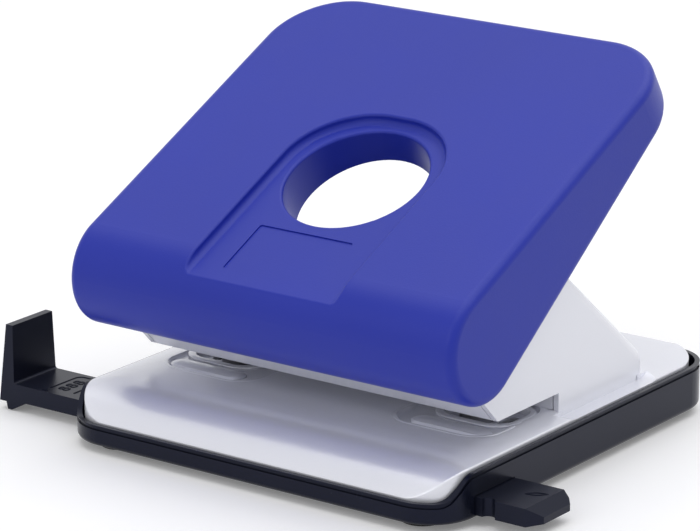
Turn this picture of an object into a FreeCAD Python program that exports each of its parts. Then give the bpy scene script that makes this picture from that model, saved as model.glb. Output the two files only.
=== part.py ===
import FreeCAD, Part
import os
from math import acos, atan2, cos, radians, sin, sqrt, tan

# A two-hole lever paper punch. Millimetres. Drawn with y = 0 at the base's front face, y to the back and
# z = 0 on the desk; save() then moves everything so that the origin is the middle of the footprint.
V = FreeCAD.Vector

# ---- driving dimensions: black base tray -------------------------------------------------------------
BASE_WIDTH = 128.0
BASE_DEPTH = 134.0
BASE_CORNER_R = 13.5
FOOT_HEIGHT = 2.0
FOOT_DIAMETER = 12.0
FOOT_SIDE_INSET = 14.0
FOOT_END_INSET = 10.5
TRAY_WALL = 1.4
TRAY_FLOOR = 1.4
TRAY_BOTTOM_R = 1.5
RIM_FRONT_Z = 8.0
RIM_SIDE_Z = 14.5
RIM_RAMP_Y = 3.2
RIM_RAMP_R = 5.0
RIM_RAMP_ANGLE = 45.0
GROOVE_BELOW_RIM = 0.3
GROOVE_HEIGHT = 1.1
GROOVE_DEPTH = 0.5
LEDGE_WIDTH = 1.6
RIB_THICK = 1.5
RIB_HEIGHT = 5.6

# ---- grey steel base plate ---------------------------------------------------------------------------
PLATE_GAP = 0.3
PLATE_REAR_GAP = 0.7
PLATE_THICK = 1.2
PLATE_TOP_Z = 16.7
PLATE_EDGE_Z = 15.4
PLATE_FRONT_Z = 8.4
PLATE_CROWN_WIDTH = 10.0
PLATE_ROLL_R = 20.0
PLATE_REAR_ROLL_R = 1.7
PLATE_REAR_DROP = 1.1
PLATE_FRONT_CORNER_R = 12.7
PLATE_REAR_CORNER_R = 15.0
PLATE_EDGE_R = 0.5
PLATE_CREASE_R = 12.0
PLATE_SKIRT = 3.2
SHELF_Z = 14.9
SHELF_SIDE_GAP = 0.25
SHELF_RAMP_FRONT = 7.5
SHELF_RAMP_REAR = 7.5
SHELF_RELIEF_R = 0.9
POCKET_TO_INNER = 17.0
POCKET_TO_OUTER = 14.5
POCKET_FRONT_Y = 31.0
POCKET_REAR_Y = 64.0
POCKET_CORNER_R = 8.0
POCKET_DEPTH = 0.9
POCKET_SLOPE_RUN = 0.9
POCKET_FOOT_R = 0.4
PAD_TO_INNER = 11.5
PAD_TO_OUTER = 12.8
PAD_FRONT_Y = 33.2
PAD_REAR_Y = 40.2
PAD_CORNER_R = 3.2
PAD_HEIGHT = 0.7
RIDGE_REACH = 1.9
RIDGE_BELOW_TOP = 0.15
RAISED_EDGE_R = 0.3
WELL_TO_INNER = 9.0
WELL_TO_OUTER = 12.8
WELL_FRONT_Y = 43.0
WELL_REAR_Y = 60.5
WELL_CORNER_R = 6.0
WELL_DEPTH = 2.4
WELL_SLOPE_RUN = 0.9
CHIP_SLOT_FROM_DIE = 1.6
CHIP_SLOT_WIDTH = 2.9
CHIP_SLOT_LENGTH = 8.0
CHIP_SLOT_SETBACK = 3.0

# ---- punches, dies, springs --------------------------------------------------------------------------
HOLE_SPACING = 80.0
PUNCH_DIAMETER = 6.0
PUNCH_BORE_CLEARANCE = 0.05
PUNCH_TIP_RECESS = 0.4
PUNCH_HOLLOW_DEPTH = 1.6
PUNCH_HOLLOW_R = 2.2
HEAD_DIAMETER = 11.0
HEAD_THICK = 2.6
DIE_OUTER_DIAMETER = 9.6
DIE_FLANGE_DIAMETER = 12.4
DIE_FLANGE_THICK = 1.5
DIE_LAND = 2.5
DIE_RELIEF = 0.4
BUSH_OUTER_DIAMETER = 10.0
BUSH_FLANGE_DIAMETER = 13.0
BUSH_FLANGE_THICK = 1.5
BUSH_COLLAR_DIAMETER = 8.0
BUSH_COLLAR_HEIGHT = 2.4
SPRING_WIRE = 1.0
SPRING_MEAN_DIAMETER = 9.6
SPRING_TURNS = 6.5
SPRING_END_GAP = 0.05

# ---- folded steel frame ------------------------------------------------------------------------------
FRAME_THICK = 1.5
FRAME_WIDTH = 115.4
THROAT_HEIGHT = 5.0
THROAT_FRONT_Y = 33.3
THROAT_END_Y = 62.2
EDGE_DISTANCE = 12.2
LIP_RUN = 6.1
LIP_UPSTAND = 8.2
FRAME_TOP_Z = 60.7
FRAME_SLOPE_TOP_Y = 58.4
FRAME_NOTCH_Z = 47.0
FRAME_NOTCH_HALF_WIDTH = 49.6
FRAME_NOTCH_R = 6.0
FRAME_REAR_Y = 105.6
FRAME_REAR_BEND_R = 3.5
FRAME_FOOT_BEND_R = 7.0
FRAME_FOOT_FRONT_Y = 64.4
FRAME_FOOT_REAR_Y = 101.0
FRAME_REAR_FOOT_Z = 21.7
EAR_R = 9.0
STOP_FLANGE = 10.0
STOP_FLANGE_END_GAP = 6.0
BRIDGE_SIDE_GAP = 0.4
BRIDGE_END_FRONT_Y = 40.0
BRIDGE_END_REAR_Y = 58.0
BRIDGE_END_HEIGHT = 8.0
REAR_TAB_INNER_X = 38.0
REAR_TAB_OUTER_X = 52.0
REAR_TAB_DEPTH = 13.0
REAR_RIVET_FROM_TAB = 4.0
FRONT_RIVET_FROM_BEND = 6.0
RIVET_SHANK = 4.0
RIVET_HEAD = 7.0
RIVET_HEAD_HEIGHT = 1.2
FRONT_RIVET_X = 25.0

# ---- axle and lever ----------------------------------------------------------------------------------
PIVOT_Y = 19.8
PIVOT_Z = 46.2
AXLE_DIAMETER = 6.0
AXLE_BORE_CLEARANCE = 0.05
AXLE_END = 1.1
AXLE_GROOVE_DEPTH = 0.6
CLIP_GRIP = 0.05
CLIP_MOUTH_HALF = 2.2
CLIP_THICK = 0.7
CLIP_DIAMETER = 11.0
CLIP_GAP = 0.1
SPACER_DIAMETER = 9.5
SPACER_GAP = 0.2
LEVER_THICK = 2.0
LEVER_HEAD_GAP = 0.5
LEVER_EAR_R = 8.0
LEVER_BACK_S = 92.0
LEVER_ARM_DEPTH = 6.5
LEVER_WEB_FRONT_S = 67.0
LEVER_ROOF_GAP = 0.6
LEVER_HEEL_OVERLAP = 4.0
LEVER_CHEEK_FRONT = 2.0
LEVER_CHEEK_UNDER_ROD = 6.0
LEVER_CHEEK_BEHIND_ROD = 8.0
LEVER_HEEL_GAP = 0.3
LEVER_HEEL_BOTTOM_Z = 31.2
BUFFER_THICK = 2.2
BUFFER_HALF_WIDTH = 18.0
ROD_DIAMETER = 6.0
ROD_GAP = 0.3
ROD_RADIUS_ARM = 30.2
ROD_OVERHANG = 1.0
STROKE_ANGLE = 17.0

# ---- blue handle cover -------------------------------------------------------------------------------
HANDLE_TILT = 25.1
HANDLE_UNDER_TILT = 35.6
HANDLE_NOSE_R = 15.2
HANDLE_UNDER_R = 16.0
HANDLE_HALF_WIDTH = 62.7
HANDLE_LENGTH_S = 109.15
HANDLE_REAR_CORNER_R = 21.5
HANDLE_SIDE_DRAFT = 1.5
HANDLE_REAR_DRAFT = 6.0
HANDLE_WALL = 2.6
HANDLE_ROOF = 2.8
HANDLE_EDGE_R = 2.5
HANDLE_MOUTH = 12.0
HANDLE_LIP_ANGLE = 88.0
RECESS_DEPTH = 2.7
RECESS_HALF_WIDTH = 24.8
RECESS_REAR_S = 62.9
RECESS_CORNER_R = 22.0
RECESS_COVE_R = 1.7
RECESS_EDGE_R = 0.8
FINGER_LIP_R = 0.8
FINGER_HOLE_S = 39.1
FINGER_HOLE_R = 20.4
FINGER_END_R = 20.0
FINGER_TUBE_WALL = 2.0
FINGER_TUBE_DEPTH = 14.2
FINGER_TUBE_END_TILT = 5.7
PANEL_HALF_WIDTH = 15.2
PANEL_FRONT_S = -3.6
PANEL_REAR_S = 14.9
PANEL_DEPTH = 0.35
PANEL_CORNER_R = 0.6
BOSS_DIAMETER = 7.0
SCREW_SHANK = 3.0
SCREW_HEAD = 5.6
SCREW_HEAD_HEIGHT = 1.6
SCREW_LENGTH = 5.0
SCREW_X = 40.0
SCREW_HOLE_CLEARANCE = 0.1
SCREW_FRONT_S = 71.5
SCREW_REAR_S = 86.5

# ---- paper guide -------------------------------------------------------------------------------------
RAIL_FRONT_Y = 14.0
RAIL_WIDTH = 18.0
RAIL_BOTTOM_Z = 3.0
RAIL_THICK = 5.0
RAIL_CLEARANCE = 0.25
RAIL_RIGHT_X = 81.9
RAIL_TIP_LENGTH = 2.6
RAIL_TIP_THICK = 1.9
RAIL_FRONT_CHAMFER_X = 2.6
RAIL_FRONT_CHAMFER_Y = 4.8
RAIL_REAR_CHAMFER = 1.0
RAIL_NOTCH_R = 2.0
RAIL_NOTCH_SETBACK = 0.4
FENCE_X = -91.4
FENCE_TOP_Z = 25.0
FENCE_TOP_THICK = 2.4
FENCE_FOOT_THICK = 5.3
FENCE_TAPER = 1.0
FENCE_BOTTOM_Z = 2.4
FENCE_FILLET_R = 0.8
NUB_LENGTH = 8.0
NUB_REACH = 4.1
NUB_FLAT = 1.5
NUB_BOTTOM_Z = 0.3
NUB_TIP_Z = 2.2
NUB_TIP_RUN = 0.5
GUIDE_STOPS = (-17.4, 0.0, 13.6, 57.1)
DETENT_X = 11.0
LEAF_HALF_LENGTH = 15.0
LEAF_THICK = 0.5
LEAF_BOW = 1.2
LEAF_GAP = 0.2
LEAF_FLOOR_GAP = 0.3
LEAF_HEIGHT = 3.4

# ---- tray hinge --------------------------------------------------------------------------------------
HINGE_FROM_REAR = 8.5
HINGE_Z = 12.9
HINGE_PIN_DIAMETER = 2.4
HINGE_KNUCKLE_R = 2.2
HINGE_CLEARANCE = 0.06
HINGE_X = 38.0
HINGE_LUG_WIDTH = 5.0
HINGE_SIDE_GAP = 0.3

# ---- sizes that follow -------------------------------------------------------------------------------
FRAME_HALF = FRAME_WIDTH / 2
PUNCH_X = HOLE_SPACING / 2
PUNCH_Y = THROAT_END_Y - EDGE_DISTANCE
THROAT_TOP_Z = PLATE_TOP_Z + THROAT_HEIGHT
WEB_TOP_Z = THROAT_TOP_Z + FRAME_THICK
PLATE_INSET = TRAY_WALL + PLATE_GAP
PLATE_HALF = BASE_WIDTH / 2 - PLATE_INSET
PLATE_REAR_Y = BASE_DEPTH - TRAY_WALL - PLATE_REAR_GAP
TRAY_FLOOR_Z = FOOT_HEIGHT + TRAY_FLOOR
RAIL_TOP_Z = RAIL_BOTTOM_Z + RAIL_THICK
RAIL_REAR_Y = RAIL_FRONT_Y + RAIL_WIDTH
HALF_STROKE = radians(STROKE_ANGLE / 2)
ROD_Y = PIVOT_Y + ROD_RADIUS_ARM * cos(HALF_STROKE)
ROD_Z = PIVOT_Z + ROD_RADIUS_ARM * sin(HALF_STROKE)
HEAD_TOP_Z = ROD_Z - ROD_DIAMETER / 2 - ROD_GAP
PUNCH_TIP_Z = THROAT_TOP_Z + PUNCH_TIP_RECESS
BUSH_TOP_Z = WEB_TOP_Z + BUSH_FLANGE_THICK
HINGE_Y = BASE_DEPTH - HINGE_FROM_REAR
LIP_TOP_Y = THROAT_FRONT_Y - LIP_RUN
LIP_TOP_Z = THROAT_TOP_Z + LIP_RUN
LEVER_HALF = PUNCH_X + HEAD_DIAMETER / 2 + LEVER_HEAD_GAP + LEVER_THICK
COVER_BOSS_W = -HANDLE_ROOF - RECESS_DEPTH - LEVER_ROOF_GAP
LEAF_ROOM = LEAF_THICK + LEAF_BOW

os.makedirs("parts", exist_ok=True)


# ---- helpers -----------------------------------------------------------------------------------------
def save(name, shape):
    """Write one sub-part, moved so that the origin is the middle of the footprint on the desk."""
    moved = shape.copy()
    moved.translate(V(0, -BASE_DEPTH / 2, 0))
    moved.exportStep("parts/" + name + ".step")
    print(name, len(moved.Solids), "solid(s)", round(moved.Volume), "mm3", "valid" if moved.isValid() else "BAD")


def box(x0, x1, y0, y1, z0, z1):
    return Part.makeBox(x1 - x0, y1 - y0, z1 - z0, V(x0, y0, z0))


def mirrored(shape):
    return shape.mirror(V(0, 0, 0), V(1, 0, 0))


def both_sides(shape):
    """The shape and its mirror image across x = 0."""
    return shape.fuse(mirrored(shape))


def rod_x(radius, x0, x1, y, z):
    return Part.makeCylinder(radius, x1 - x0, V(x0, y, z), V(1, 0, 0))


def rod_z(radius, z0, z1, x, y):
    return Part.makeCylinder(radius, z1 - z0, V(x, y, z0), V(0, 0, 1))


def line(a, b):
    return Part.LineSegment(a, b).toShape()


def arc(a, middle, b):
    return Part.Arc(a, middle, b).toShape()


def yz(y, z):
    return V(0, y, z)


def prism_x(edges, x0, x1):
    """A closed outline in the YZ plane, pushed along X from x0 to x1."""
    face = Part.Face(Part.Wire(edges))
    face.translate(V(x0, 0, 0))
    return face.extrude(V(x1 - x0, 0, 0))


def polygon_prism_x(points, x0, x1):
    corners = [yz(y, z) for y, z in points]
    return prism_x(Part.makePolygon(corners + corners[:1]).Edges, x0, x1)


def rounded_prism_x(points, x0, x1):
    """A closed outline pushed along X; each point is (y, z, radius), and radius 0 leaves its corner sharp."""
    corners = [yz(y, z) for y, z, radius in points]
    turns = []
    for i, (y, z, radius) in enumerate(points):
        back = (corners[i - 1] - corners[i]).normalize()
        ahead = (corners[(i + 1) % len(points)] - corners[i]).normalize()
        half_angle = back.getAngle(ahead) / 2
        reach = radius / tan(half_angle)
        inward = (back + ahead).normalize() if radius else V(0, 0, 0)
        middle = corners[i] + inward * (radius / sin(half_angle) - radius)
        turns.append((corners[i] + back * reach, middle, corners[i] + ahead * reach))
    edges = []
    for i, (y, z, radius) in enumerate(points):
        if radius:
            edges.append(arc(*turns[i]))
        edges.append(line(turns[i][2], turns[(i + 1) % len(points)][0]))
    return prism_x(edges, x0, x1)


def soft_step(a, b):
    """Two equal tangent arcs in the YZ plane that leave a level at a and reach b's level there."""
    run, rise = b.y - a.y, b.z - a.z
    turn = 2 * atan2(rise, run)
    radius = run / 2 / sin(turn)
    quarter = yz(radius * sin(turn / 2), radius * (1 - cos(turn / 2)))
    middle = (a + b) * 0.5
    return [arc(a, a + quarter, middle), arc(middle, b - quarter, b)]


def rounded_outline(x0, x1, y0, y1, radius, z=0.0, rear_radius=None):
    """A rectangle with four round corners, as a wire at height z; the rear corners can have their own radius."""
    r = radius
    q = radius if rear_radius is None else rear_radius
    k = r * (1 - sqrt(0.5))
    m = q * (1 - sqrt(0.5))
    edges = [
        line(V(x0 + r, y0, z), V(x1 - r, y0, z)),
        arc(V(x1 - r, y0, z), V(x1 - k, y0 + k, z), V(x1, y0 + r, z)),
        line(V(x1, y0 + r, z), V(x1, y1 - q, z)),
        arc(V(x1, y1 - q, z), V(x1 - m, y1 - m, z), V(x1 - q, y1, z)),
        line(V(x1 - q, y1, z), V(x0 + q, y1, z)),
        arc(V(x0 + q, y1, z), V(x0 + m, y1 - m, z), V(x0, y1 - q, z)),
        line(V(x0, y1 - q, z), V(x0, y0 + r, z)),
        arc(V(x0, y0 + r, z), V(x0 + k, y0 + k, z), V(x0 + r, y0, z)),
    ]
    return Part.Wire(edges)


def rounded_block(x0, x1, y0, y1, radius, z0, z1):
    return Part.Face(rounded_outline(x0, x1, y0, y1, radius, z0)).extrude(V(0, 0, z1 - z0))


def softened(block, radius, level):
    """The block with the edges of its flat face at this level rounded."""
    rim = [e for e in block.Edges if abs(e.BoundBox.ZMin - level) < 0.01 and abs(e.BoundBox.ZMax - level) < 0.01]
    return block.makeFillet(radius, rim)


def base_block(inset, z0, z1):
    """The base's footprint, drawn in by inset all round."""
    half = BASE_WIDTH / 2 - inset
    return rounded_block(-half, half, inset, BASE_DEPTH - inset, BASE_CORNER_R - inset, z0, z1)


def under_rim(drop):
    """Everything below the rim's line, lowered by drop: low in front, a ramp, then high to the back."""
    turn = radians(RIM_RAMP_ANGLE)
    rise = RIM_SIDE_Z - RIM_FRONT_Z
    arc_rise = RIM_RAMP_R * (1 - cos(turn))
    arc_run = RIM_RAMP_R * sin(turn)
    half_turn_rise = RIM_RAMP_R * (1 - cos(turn / 2))
    half_turn_run = RIM_RAMP_R * sin(turn / 2)
    slope_run = (rise - 2 * arc_rise) / tan(turn)
    low = RIM_FRONT_Z - drop
    high = RIM_SIDE_Z - drop
    ramp_end = RIM_RAMP_Y + 2 * arc_run + slope_run
    a = yz(RIM_RAMP_Y, low)
    b = yz(RIM_RAMP_Y + arc_run, low + arc_rise)
    c = yz(ramp_end - arc_run, high - arc_rise)
    d = yz(ramp_end, high)
    margin = 5.0
    edges = [
        line(yz(-margin, low), a),
        arc(a, yz(RIM_RAMP_Y + half_turn_run, low + half_turn_rise), b),
        line(b, c),
        arc(c, yz(ramp_end - half_turn_run, high - half_turn_rise), d),
        line(d, yz(BASE_DEPTH + margin, high)),
        line(yz(BASE_DEPTH + margin, high), yz(BASE_DEPTH + margin, -margin)),
        line(yz(BASE_DEPTH + margin, -margin), yz(-margin, -margin)),
        line(yz(-margin, -margin), yz(-margin, low)),
    ]
    return prism_x(edges, -BASE_WIDTH, BASE_WIDTH)


# ---- base tray ---------------------------------------------------------------------------------------
def hinge_slots():
    """The two places along the pin where a lug of the plate hangs between the tray's knuckles."""
    return (-HINGE_X, HINGE_X)


def hinge_knuckles():
    """Pairs of posts on the tray's floor, one each side of a lug of the plate, with the pin's eye on top."""
    knuckles = []
    for x in hinge_slots():
        for side in (-1, 1):
            inner = x + side * (HINGE_LUG_WIDTH / 2 + HINGE_SIDE_GAP)
            outer = inner + side * HINGE_LUG_WIDTH
            x0, x1 = min(inner, outer), max(inner, outer)
            post = box(x0, x1, HINGE_Y - HINGE_KNUCKLE_R, HINGE_Y + HINGE_KNUCKLE_R, TRAY_FLOOR_Z, HINGE_Z)
            knuckles.append(post.fuse(rod_x(HINGE_KNUCKLE_R, x0, x1, HINGE_Y, HINGE_Z)))
    return knuckles


def make_base_tray():
    shell = softened(base_block(0, FOOT_HEIGHT, PLATE_TOP_Z), TRAY_BOTTOM_R, FOOT_HEIGHT)
    shell = shell.common(under_rim(0))
    inside = base_block(TRAY_WALL, TRAY_FLOOR_Z, PLATE_TOP_Z + 1)
    ledge_drop = RIM_SIDE_Z - PLATE_EDGE_Z + PLATE_SKIRT + PLATE_GAP
    ledge = base_block(TRAY_WALL, TRAY_FLOOR_Z, PLATE_TOP_Z).cut(
        base_block(TRAY_WALL + LEDGE_WIDTH, TRAY_FLOOR_Z - 1, PLATE_TOP_Z + 1))
    ledge = ledge.common(under_rim(ledge_drop))
    ledge = ledge.cut(box(-BASE_WIDTH, BASE_WIDTH, HINGE_Y - HINGE_KNUCKLE_R, BASE_DEPTH, 0, PLATE_TOP_Z))
    tray = shell.cut(inside).fuse(ledge)
    band = base_block(-1, FOOT_HEIGHT, PLATE_TOP_Z).cut(base_block(GROOVE_DEPTH, FOOT_HEIGHT - 1, PLATE_TOP_Z + 1))
    band = band.common(under_rim(GROOVE_BELOW_RIM)).cut(under_rim(GROOVE_BELOW_RIM + GROOVE_HEIGHT))
    tray = tray.cut(band)
    half = BASE_WIDTH / 2 - TRAY_WALL
    for y in (RAIL_FRONT_Y - RAIL_CLEARANCE - RIB_THICK - LEAF_ROOM, RAIL_REAR_Y + RAIL_CLEARANCE):
        tray = tray.fuse(box(-half, half, y, y + RIB_THICK, TRAY_FLOOR_Z, TRAY_FLOOR_Z + RIB_HEIGHT))
    tray = tray.cut(box(-BASE_WIDTH, BASE_WIDTH, RAIL_FRONT_Y - RAIL_CLEARANCE, RAIL_REAR_Y + RAIL_CLEARANCE,
                        RAIL_BOTTOM_Z - RAIL_CLEARANCE / 2, RAIL_TOP_Z + RAIL_CLEARANCE))
    for knuckle in hinge_knuckles():
        tray = tray.fuse(knuckle)
    pin_hole = rod_x(HINGE_PIN_DIAMETER / 2 + HINGE_CLEARANCE, -half, half, HINGE_Y, HINGE_Z)
    return tray.cut(pin_hole).removeSplitter()


def make_rubber_feet():
    """Four feet at the corners, and one in the middle that keeps the floor from bowing."""
    x = BASE_WIDTH / 2 - FOOT_SIDE_INSET
    front, rear = FOOT_END_INSET, BASE_DEPTH - FOOT_END_INSET
    places = ((-x, front), (x, front), (-x, rear), (x, rear), (0, BASE_DEPTH / 2))
    feet = [rod_z(FOOT_DIAMETER / 2, 0, FOOT_HEIGHT, foot_x, foot_y) for foot_x, foot_y in places]
    return Part.makeCompound([softened(foot, FOOT_HEIGHT / 4, 0) for foot in feet])


def make_hinge_pin():
    reach = HINGE_X + HINGE_LUG_WIDTH * 1.5 + HINGE_SIDE_GAP
    return rod_x(HINGE_PIN_DIAMETER / 2, -reach, reach, HINGE_Y, HINGE_Z)


# ---- base plate --------------------------------------------------------------------------------------
def plate_block(inset):
    """The plate's outer form, drawn in by inset: footprint, rolled front, crowned sides, tight roll behind."""
    top = PLATE_TOP_Z - inset
    front = PLATE_INSET + inset
    rear = PLATE_REAR_Y - inset
    half = PLATE_HALF - inset
    bottom = FOOT_HEIGHT
    plan = Part.Face(rounded_outline(-half, half, front, rear, PLATE_FRONT_CORNER_R - inset, bottom,
                                     PLATE_REAR_CORNER_R - inset)).extrude(V(0, 0, top + 1 - bottom))
    roll_drop = PLATE_TOP_Z - PLATE_FRONT_Z
    roll_angle = acos(1 - roll_drop / PLATE_ROLL_R)
    roll_run = PLATE_ROLL_R * sin(roll_angle)
    a = yz(front, top - roll_drop)
    b = yz(front + roll_run, top)
    middle = yz(front + roll_run - PLATE_ROLL_R * sin(roll_angle / 2),
                top - PLATE_ROLL_R * (1 - cos(roll_angle / 2)))
    rear_angle = acos(1 - PLATE_REAR_DROP / PLATE_REAR_ROLL_R)
    rear_run = PLATE_REAR_ROLL_R * sin(rear_angle)
    c = yz(rear - rear_run, top)
    d = yz(rear, top - PLATE_REAR_DROP)
    rear_middle = yz(rear - rear_run + PLATE_REAR_ROLL_R * sin(rear_angle / 2),
                     top - PLATE_REAR_ROLL_R * (1 - cos(rear_angle / 2)))
    long_profile = [
        arc(a, middle, b),
        line(b, c),
        arc(c, rear_middle, d),
        line(d, yz(rear, bottom)),
        line(yz(rear, bottom), yz(front, bottom)),
        line(yz(front, bottom), a),
    ]
    lengthwise = prism_x(long_profile, -BASE_WIDTH, BASE_WIDTH)
    crown_drop = PLATE_TOP_Z - PLATE_EDGE_Z
    crown_r = (PLATE_CROWN_WIDTH ** 2 + crown_drop ** 2) / (2 * crown_drop)
    half_crown = PLATE_CROWN_WIDTH / 2
    half_crown_drop = crown_r - sqrt(crown_r ** 2 - half_crown ** 2)
    e = V(half - PLATE_CROWN_WIDTH, 0, top)
    f = V(half, 0, top - crown_drop)
    across = [
        line(V(-e.x, 0, top), e),
        arc(e, V(half - half_crown, 0, top - half_crown_drop), f),
        line(f, V(half, 0, bottom)),
        line(V(half, 0, bottom), V(-half, 0, bottom)),
        line(V(-half, 0, bottom), V(-half, 0, f.z)),
        arc(V(-half, 0, f.z), V(half_crown - half, 0, top - half_crown_drop), V(-e.x, 0, top)),
    ]
    crosswise = Part.Face(Part.Wire(across)).extrude(V(0, BASE_DEPTH, 0))
    return plan.common(lengthwise).common(crosswise)


def plate_skin():
    """The plate's outer form with its front corners blended and its rim softened."""
    form = plate_block(0)
    half_crown_drop = (PLATE_TOP_Z - PLATE_EDGE_Z) / 2
    creases = [e for e in form.Edges if e.BoundBox.YMax < BASE_DEPTH / 2 and e.BoundBox.ZLength > half_crown_drop
               and e.BoundBox.ZMax > PLATE_TOP_Z - 0.01]
    form = form.makeFillet(PLATE_CREASE_R, creases)
    rim = [e for e in form.Edges if e.BoundBox.ZMin > PLATE_FRONT_Z - 0.01
           and e.BoundBox.ZMax < PLATE_TOP_Z - half_crown_drop / 2]
    return form.makeFillet(PLATE_EDGE_R, rim)


def sloped_block(x0, x1, y0, y1, radius, z0, z1, spread):
    """A rounded block whose sides lean outwards by spread on the way from z0 up to z1."""
    low = rounded_outline(x0, x1, y0, y1, radius, z0)
    high = rounded_outline(x0 - spread, x1 + spread, y0 - spread, y1 + spread, radius + spread, z1)
    return Part.makeLoft([low, high], True, True)


def raised_block(x0, x1, y0, y1, radius, floor, height):
    """A low boss with 45 degree sides and a softened top; its outline is given where it meets the floor."""
    block = sloped_block(x0 - height, x1 + height, y0 - height, y1 + height, radius + height,
                         floor - height, floor + height, -2 * height)
    return softened(block, RAISED_EDGE_R, floor + height)


def sunk_block(x0, x1, y0, y1, radius, top, depth, run):
    """What a pressed hollow takes away: its outline is given at the top, and its walls lean in to the floor."""
    block = sloped_block(x0 + run, x1 - run, y0 + run, y1 - run, radius - run, top - depth, top, run)
    return softened(block, POCKET_FOOT_R, top - depth)


def die_pocket(top):
    """What is pressed out of the plate below top round one die.

    A shallow pocket with a raised pad in front, and a deeper well round the die with a raised ridge as its rim.
    """
    pocket = sunk_block(PUNCH_X - POCKET_TO_INNER, PUNCH_X + POCKET_TO_OUTER, POCKET_FRONT_Y, POCKET_REAR_Y,
                        POCKET_CORNER_R, top, POCKET_DEPTH, POCKET_SLOPE_RUN)
    floor = top - POCKET_DEPTH
    pad = raised_block(PUNCH_X - PAD_TO_INNER, PUNCH_X + PAD_TO_OUTER, PAD_FRONT_Y, PAD_REAR_Y, PAD_CORNER_R,
                       floor, PAD_HEIGHT)
    x0, x1 = PUNCH_X - WELL_TO_INNER, PUNCH_X + WELL_TO_OUTER
    ridge = raised_block(x0 - RIDGE_REACH, x1 + RIDGE_REACH, WELL_FRONT_Y - RIDGE_REACH, WELL_REAR_Y + RIDGE_REACH,
                         WELL_CORNER_R + RIDGE_REACH, floor, POCKET_DEPTH - RIDGE_BELOW_TOP)
    well = sunk_block(x0, x1, WELL_FRONT_Y, WELL_REAR_Y, WELL_CORNER_R, top, WELL_DEPTH, WELL_SLOPE_RUN)
    return pocket.cut(pad).cut(ridge).fuse(well)


def chip_slot():
    """An oblong opening in the well's floor beside the die."""
    x0 = PUNCH_X + DIE_OUTER_DIAMETER / 2 + CHIP_SLOT_FROM_DIE
    y0 = PUNCH_Y + CHIP_SLOT_SETBACK - CHIP_SLOT_LENGTH / 2
    return rounded_block(x0, x0 + CHIP_SLOT_WIDTH, y0, y0 + CHIP_SLOT_LENGTH, CHIP_SLOT_WIDTH / 2 - 0.05,
                         FOOT_HEIGHT, PLATE_TOP_Z + 1)


def pocket_backing():
    """The plate's own thickness carried down under the pocket and the well."""
    under = PLATE_TOP_Z - PLATE_THICK
    pocket = rounded_block(PUNCH_X - POCKET_TO_INNER, PUNCH_X + POCKET_TO_OUTER, POCKET_FRONT_Y, POCKET_REAR_Y,
                           POCKET_CORNER_R, under - POCKET_DEPTH, under + PLATE_THICK / 4)
    well = rounded_block(PUNCH_X - WELL_TO_INNER, PUNCH_X + WELL_TO_OUTER, WELL_FRONT_Y, WELL_REAR_Y,
                         WELL_CORNER_R, under - WELL_DEPTH, under)
    return pocket.fuse(well)


def foot_shelf():
    """The slot that a side of the frame stands in, and the lowered edge outside it with a ramp at each end."""
    inner = FRAME_HALF - FRAME_THICK - SHELF_SIDE_GAP
    outer = FRAME_HALF + SHELF_SIDE_GAP
    front = FRAME_FOOT_FRONT_Y - SHELF_SIDE_GAP
    rear = FRAME_FOOT_REAR_Y + SHELF_SIDE_GAP
    slot = box(inner, outer, front, rear, SHELF_Z, PLATE_TOP_Z + 1)
    relief = rod_z(SHELF_RELIEF_R, SHELF_Z, PLATE_TOP_Z + 1, (inner + outer) / 2, rear)
    a = yz(front - SHELF_RAMP_FRONT, PLATE_TOP_Z)
    b = yz(front, SHELF_Z)
    c = yz(rear, SHELF_Z)
    d = yz(rear + SHELF_RAMP_REAR, PLATE_TOP_Z)
    above = V(0, 0, 1)
    outline = soft_step(a, b) + [line(b, c)] + soft_step(c, d)
    outline += [line(d, d + above), line(d + above, a + above), line(a + above, a)]
    return slot.fuse(relief).fuse(prism_x(outline, outer, BASE_WIDTH / 2))


def hinge_lug(x):
    """A lug folded down from the plate, with the pin's eye in its end."""
    x0, x1 = x - HINGE_LUG_WIDTH / 2, x + HINGE_LUG_WIDTH / 2
    lug = box(x0, x1, HINGE_Y - HINGE_KNUCKLE_R, HINGE_Y + HINGE_KNUCKLE_R, HINGE_Z, PLATE_TOP_Z - PLATE_THICK / 2)
    lug = lug.fuse(rod_x(HINGE_KNUCKLE_R, x0, x1, HINGE_Y, HINGE_Z))
    return lug.cut(rod_x(HINGE_PIN_DIAMETER / 2 + HINGE_CLEARANCE, x0 - 1, x1 + 1, HINGE_Y, HINGE_Z))


def make_base_plate():
    skirt_drop = RIM_SIDE_Z - PLATE_EDGE_Z + PLATE_SKIRT
    plate = plate_skin().cut(plate_block(PLATE_THICK))
    shelf_floor = box(FRAME_HALF - FRAME_THICK - SHELF_SIDE_GAP - PLATE_THICK, PLATE_HALF - PLATE_THICK / 2,
                      FRAME_FOOT_FRONT_Y - SHELF_SIDE_GAP - SHELF_RAMP_FRONT,
                      FRAME_FOOT_REAR_Y + SHELF_SIDE_GAP + SHELF_RAMP_REAR, SHELF_Z - PLATE_THICK, PLATE_EDGE_Z)
    plate = plate.fuse(both_sides(shelf_floor)).fuse(both_sides(pocket_backing()))
    plate = plate.cut(under_rim(skirt_drop))
    plate = plate.cut(both_sides(foot_shelf()))
    plate = plate.cut(both_sides(die_pocket(PLATE_TOP_Z))).cut(both_sides(chip_slot()))
    for x in (-PUNCH_X, PUNCH_X):
        plate = plate.cut(rod_z(DIE_OUTER_DIAMETER / 2, FOOT_HEIGHT, PLATE_TOP_Z + 1, x, PUNCH_Y))
    for x, y in rivet_places():
        plate = plate.cut(rod_z(RIVET_SHANK / 2, FOOT_HEIGHT, PLATE_TOP_Z + 1, x, y))
    for x in hinge_slots():
        plate = plate.fuse(hinge_lug(x))
    return plate.removeSplitter()


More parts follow.
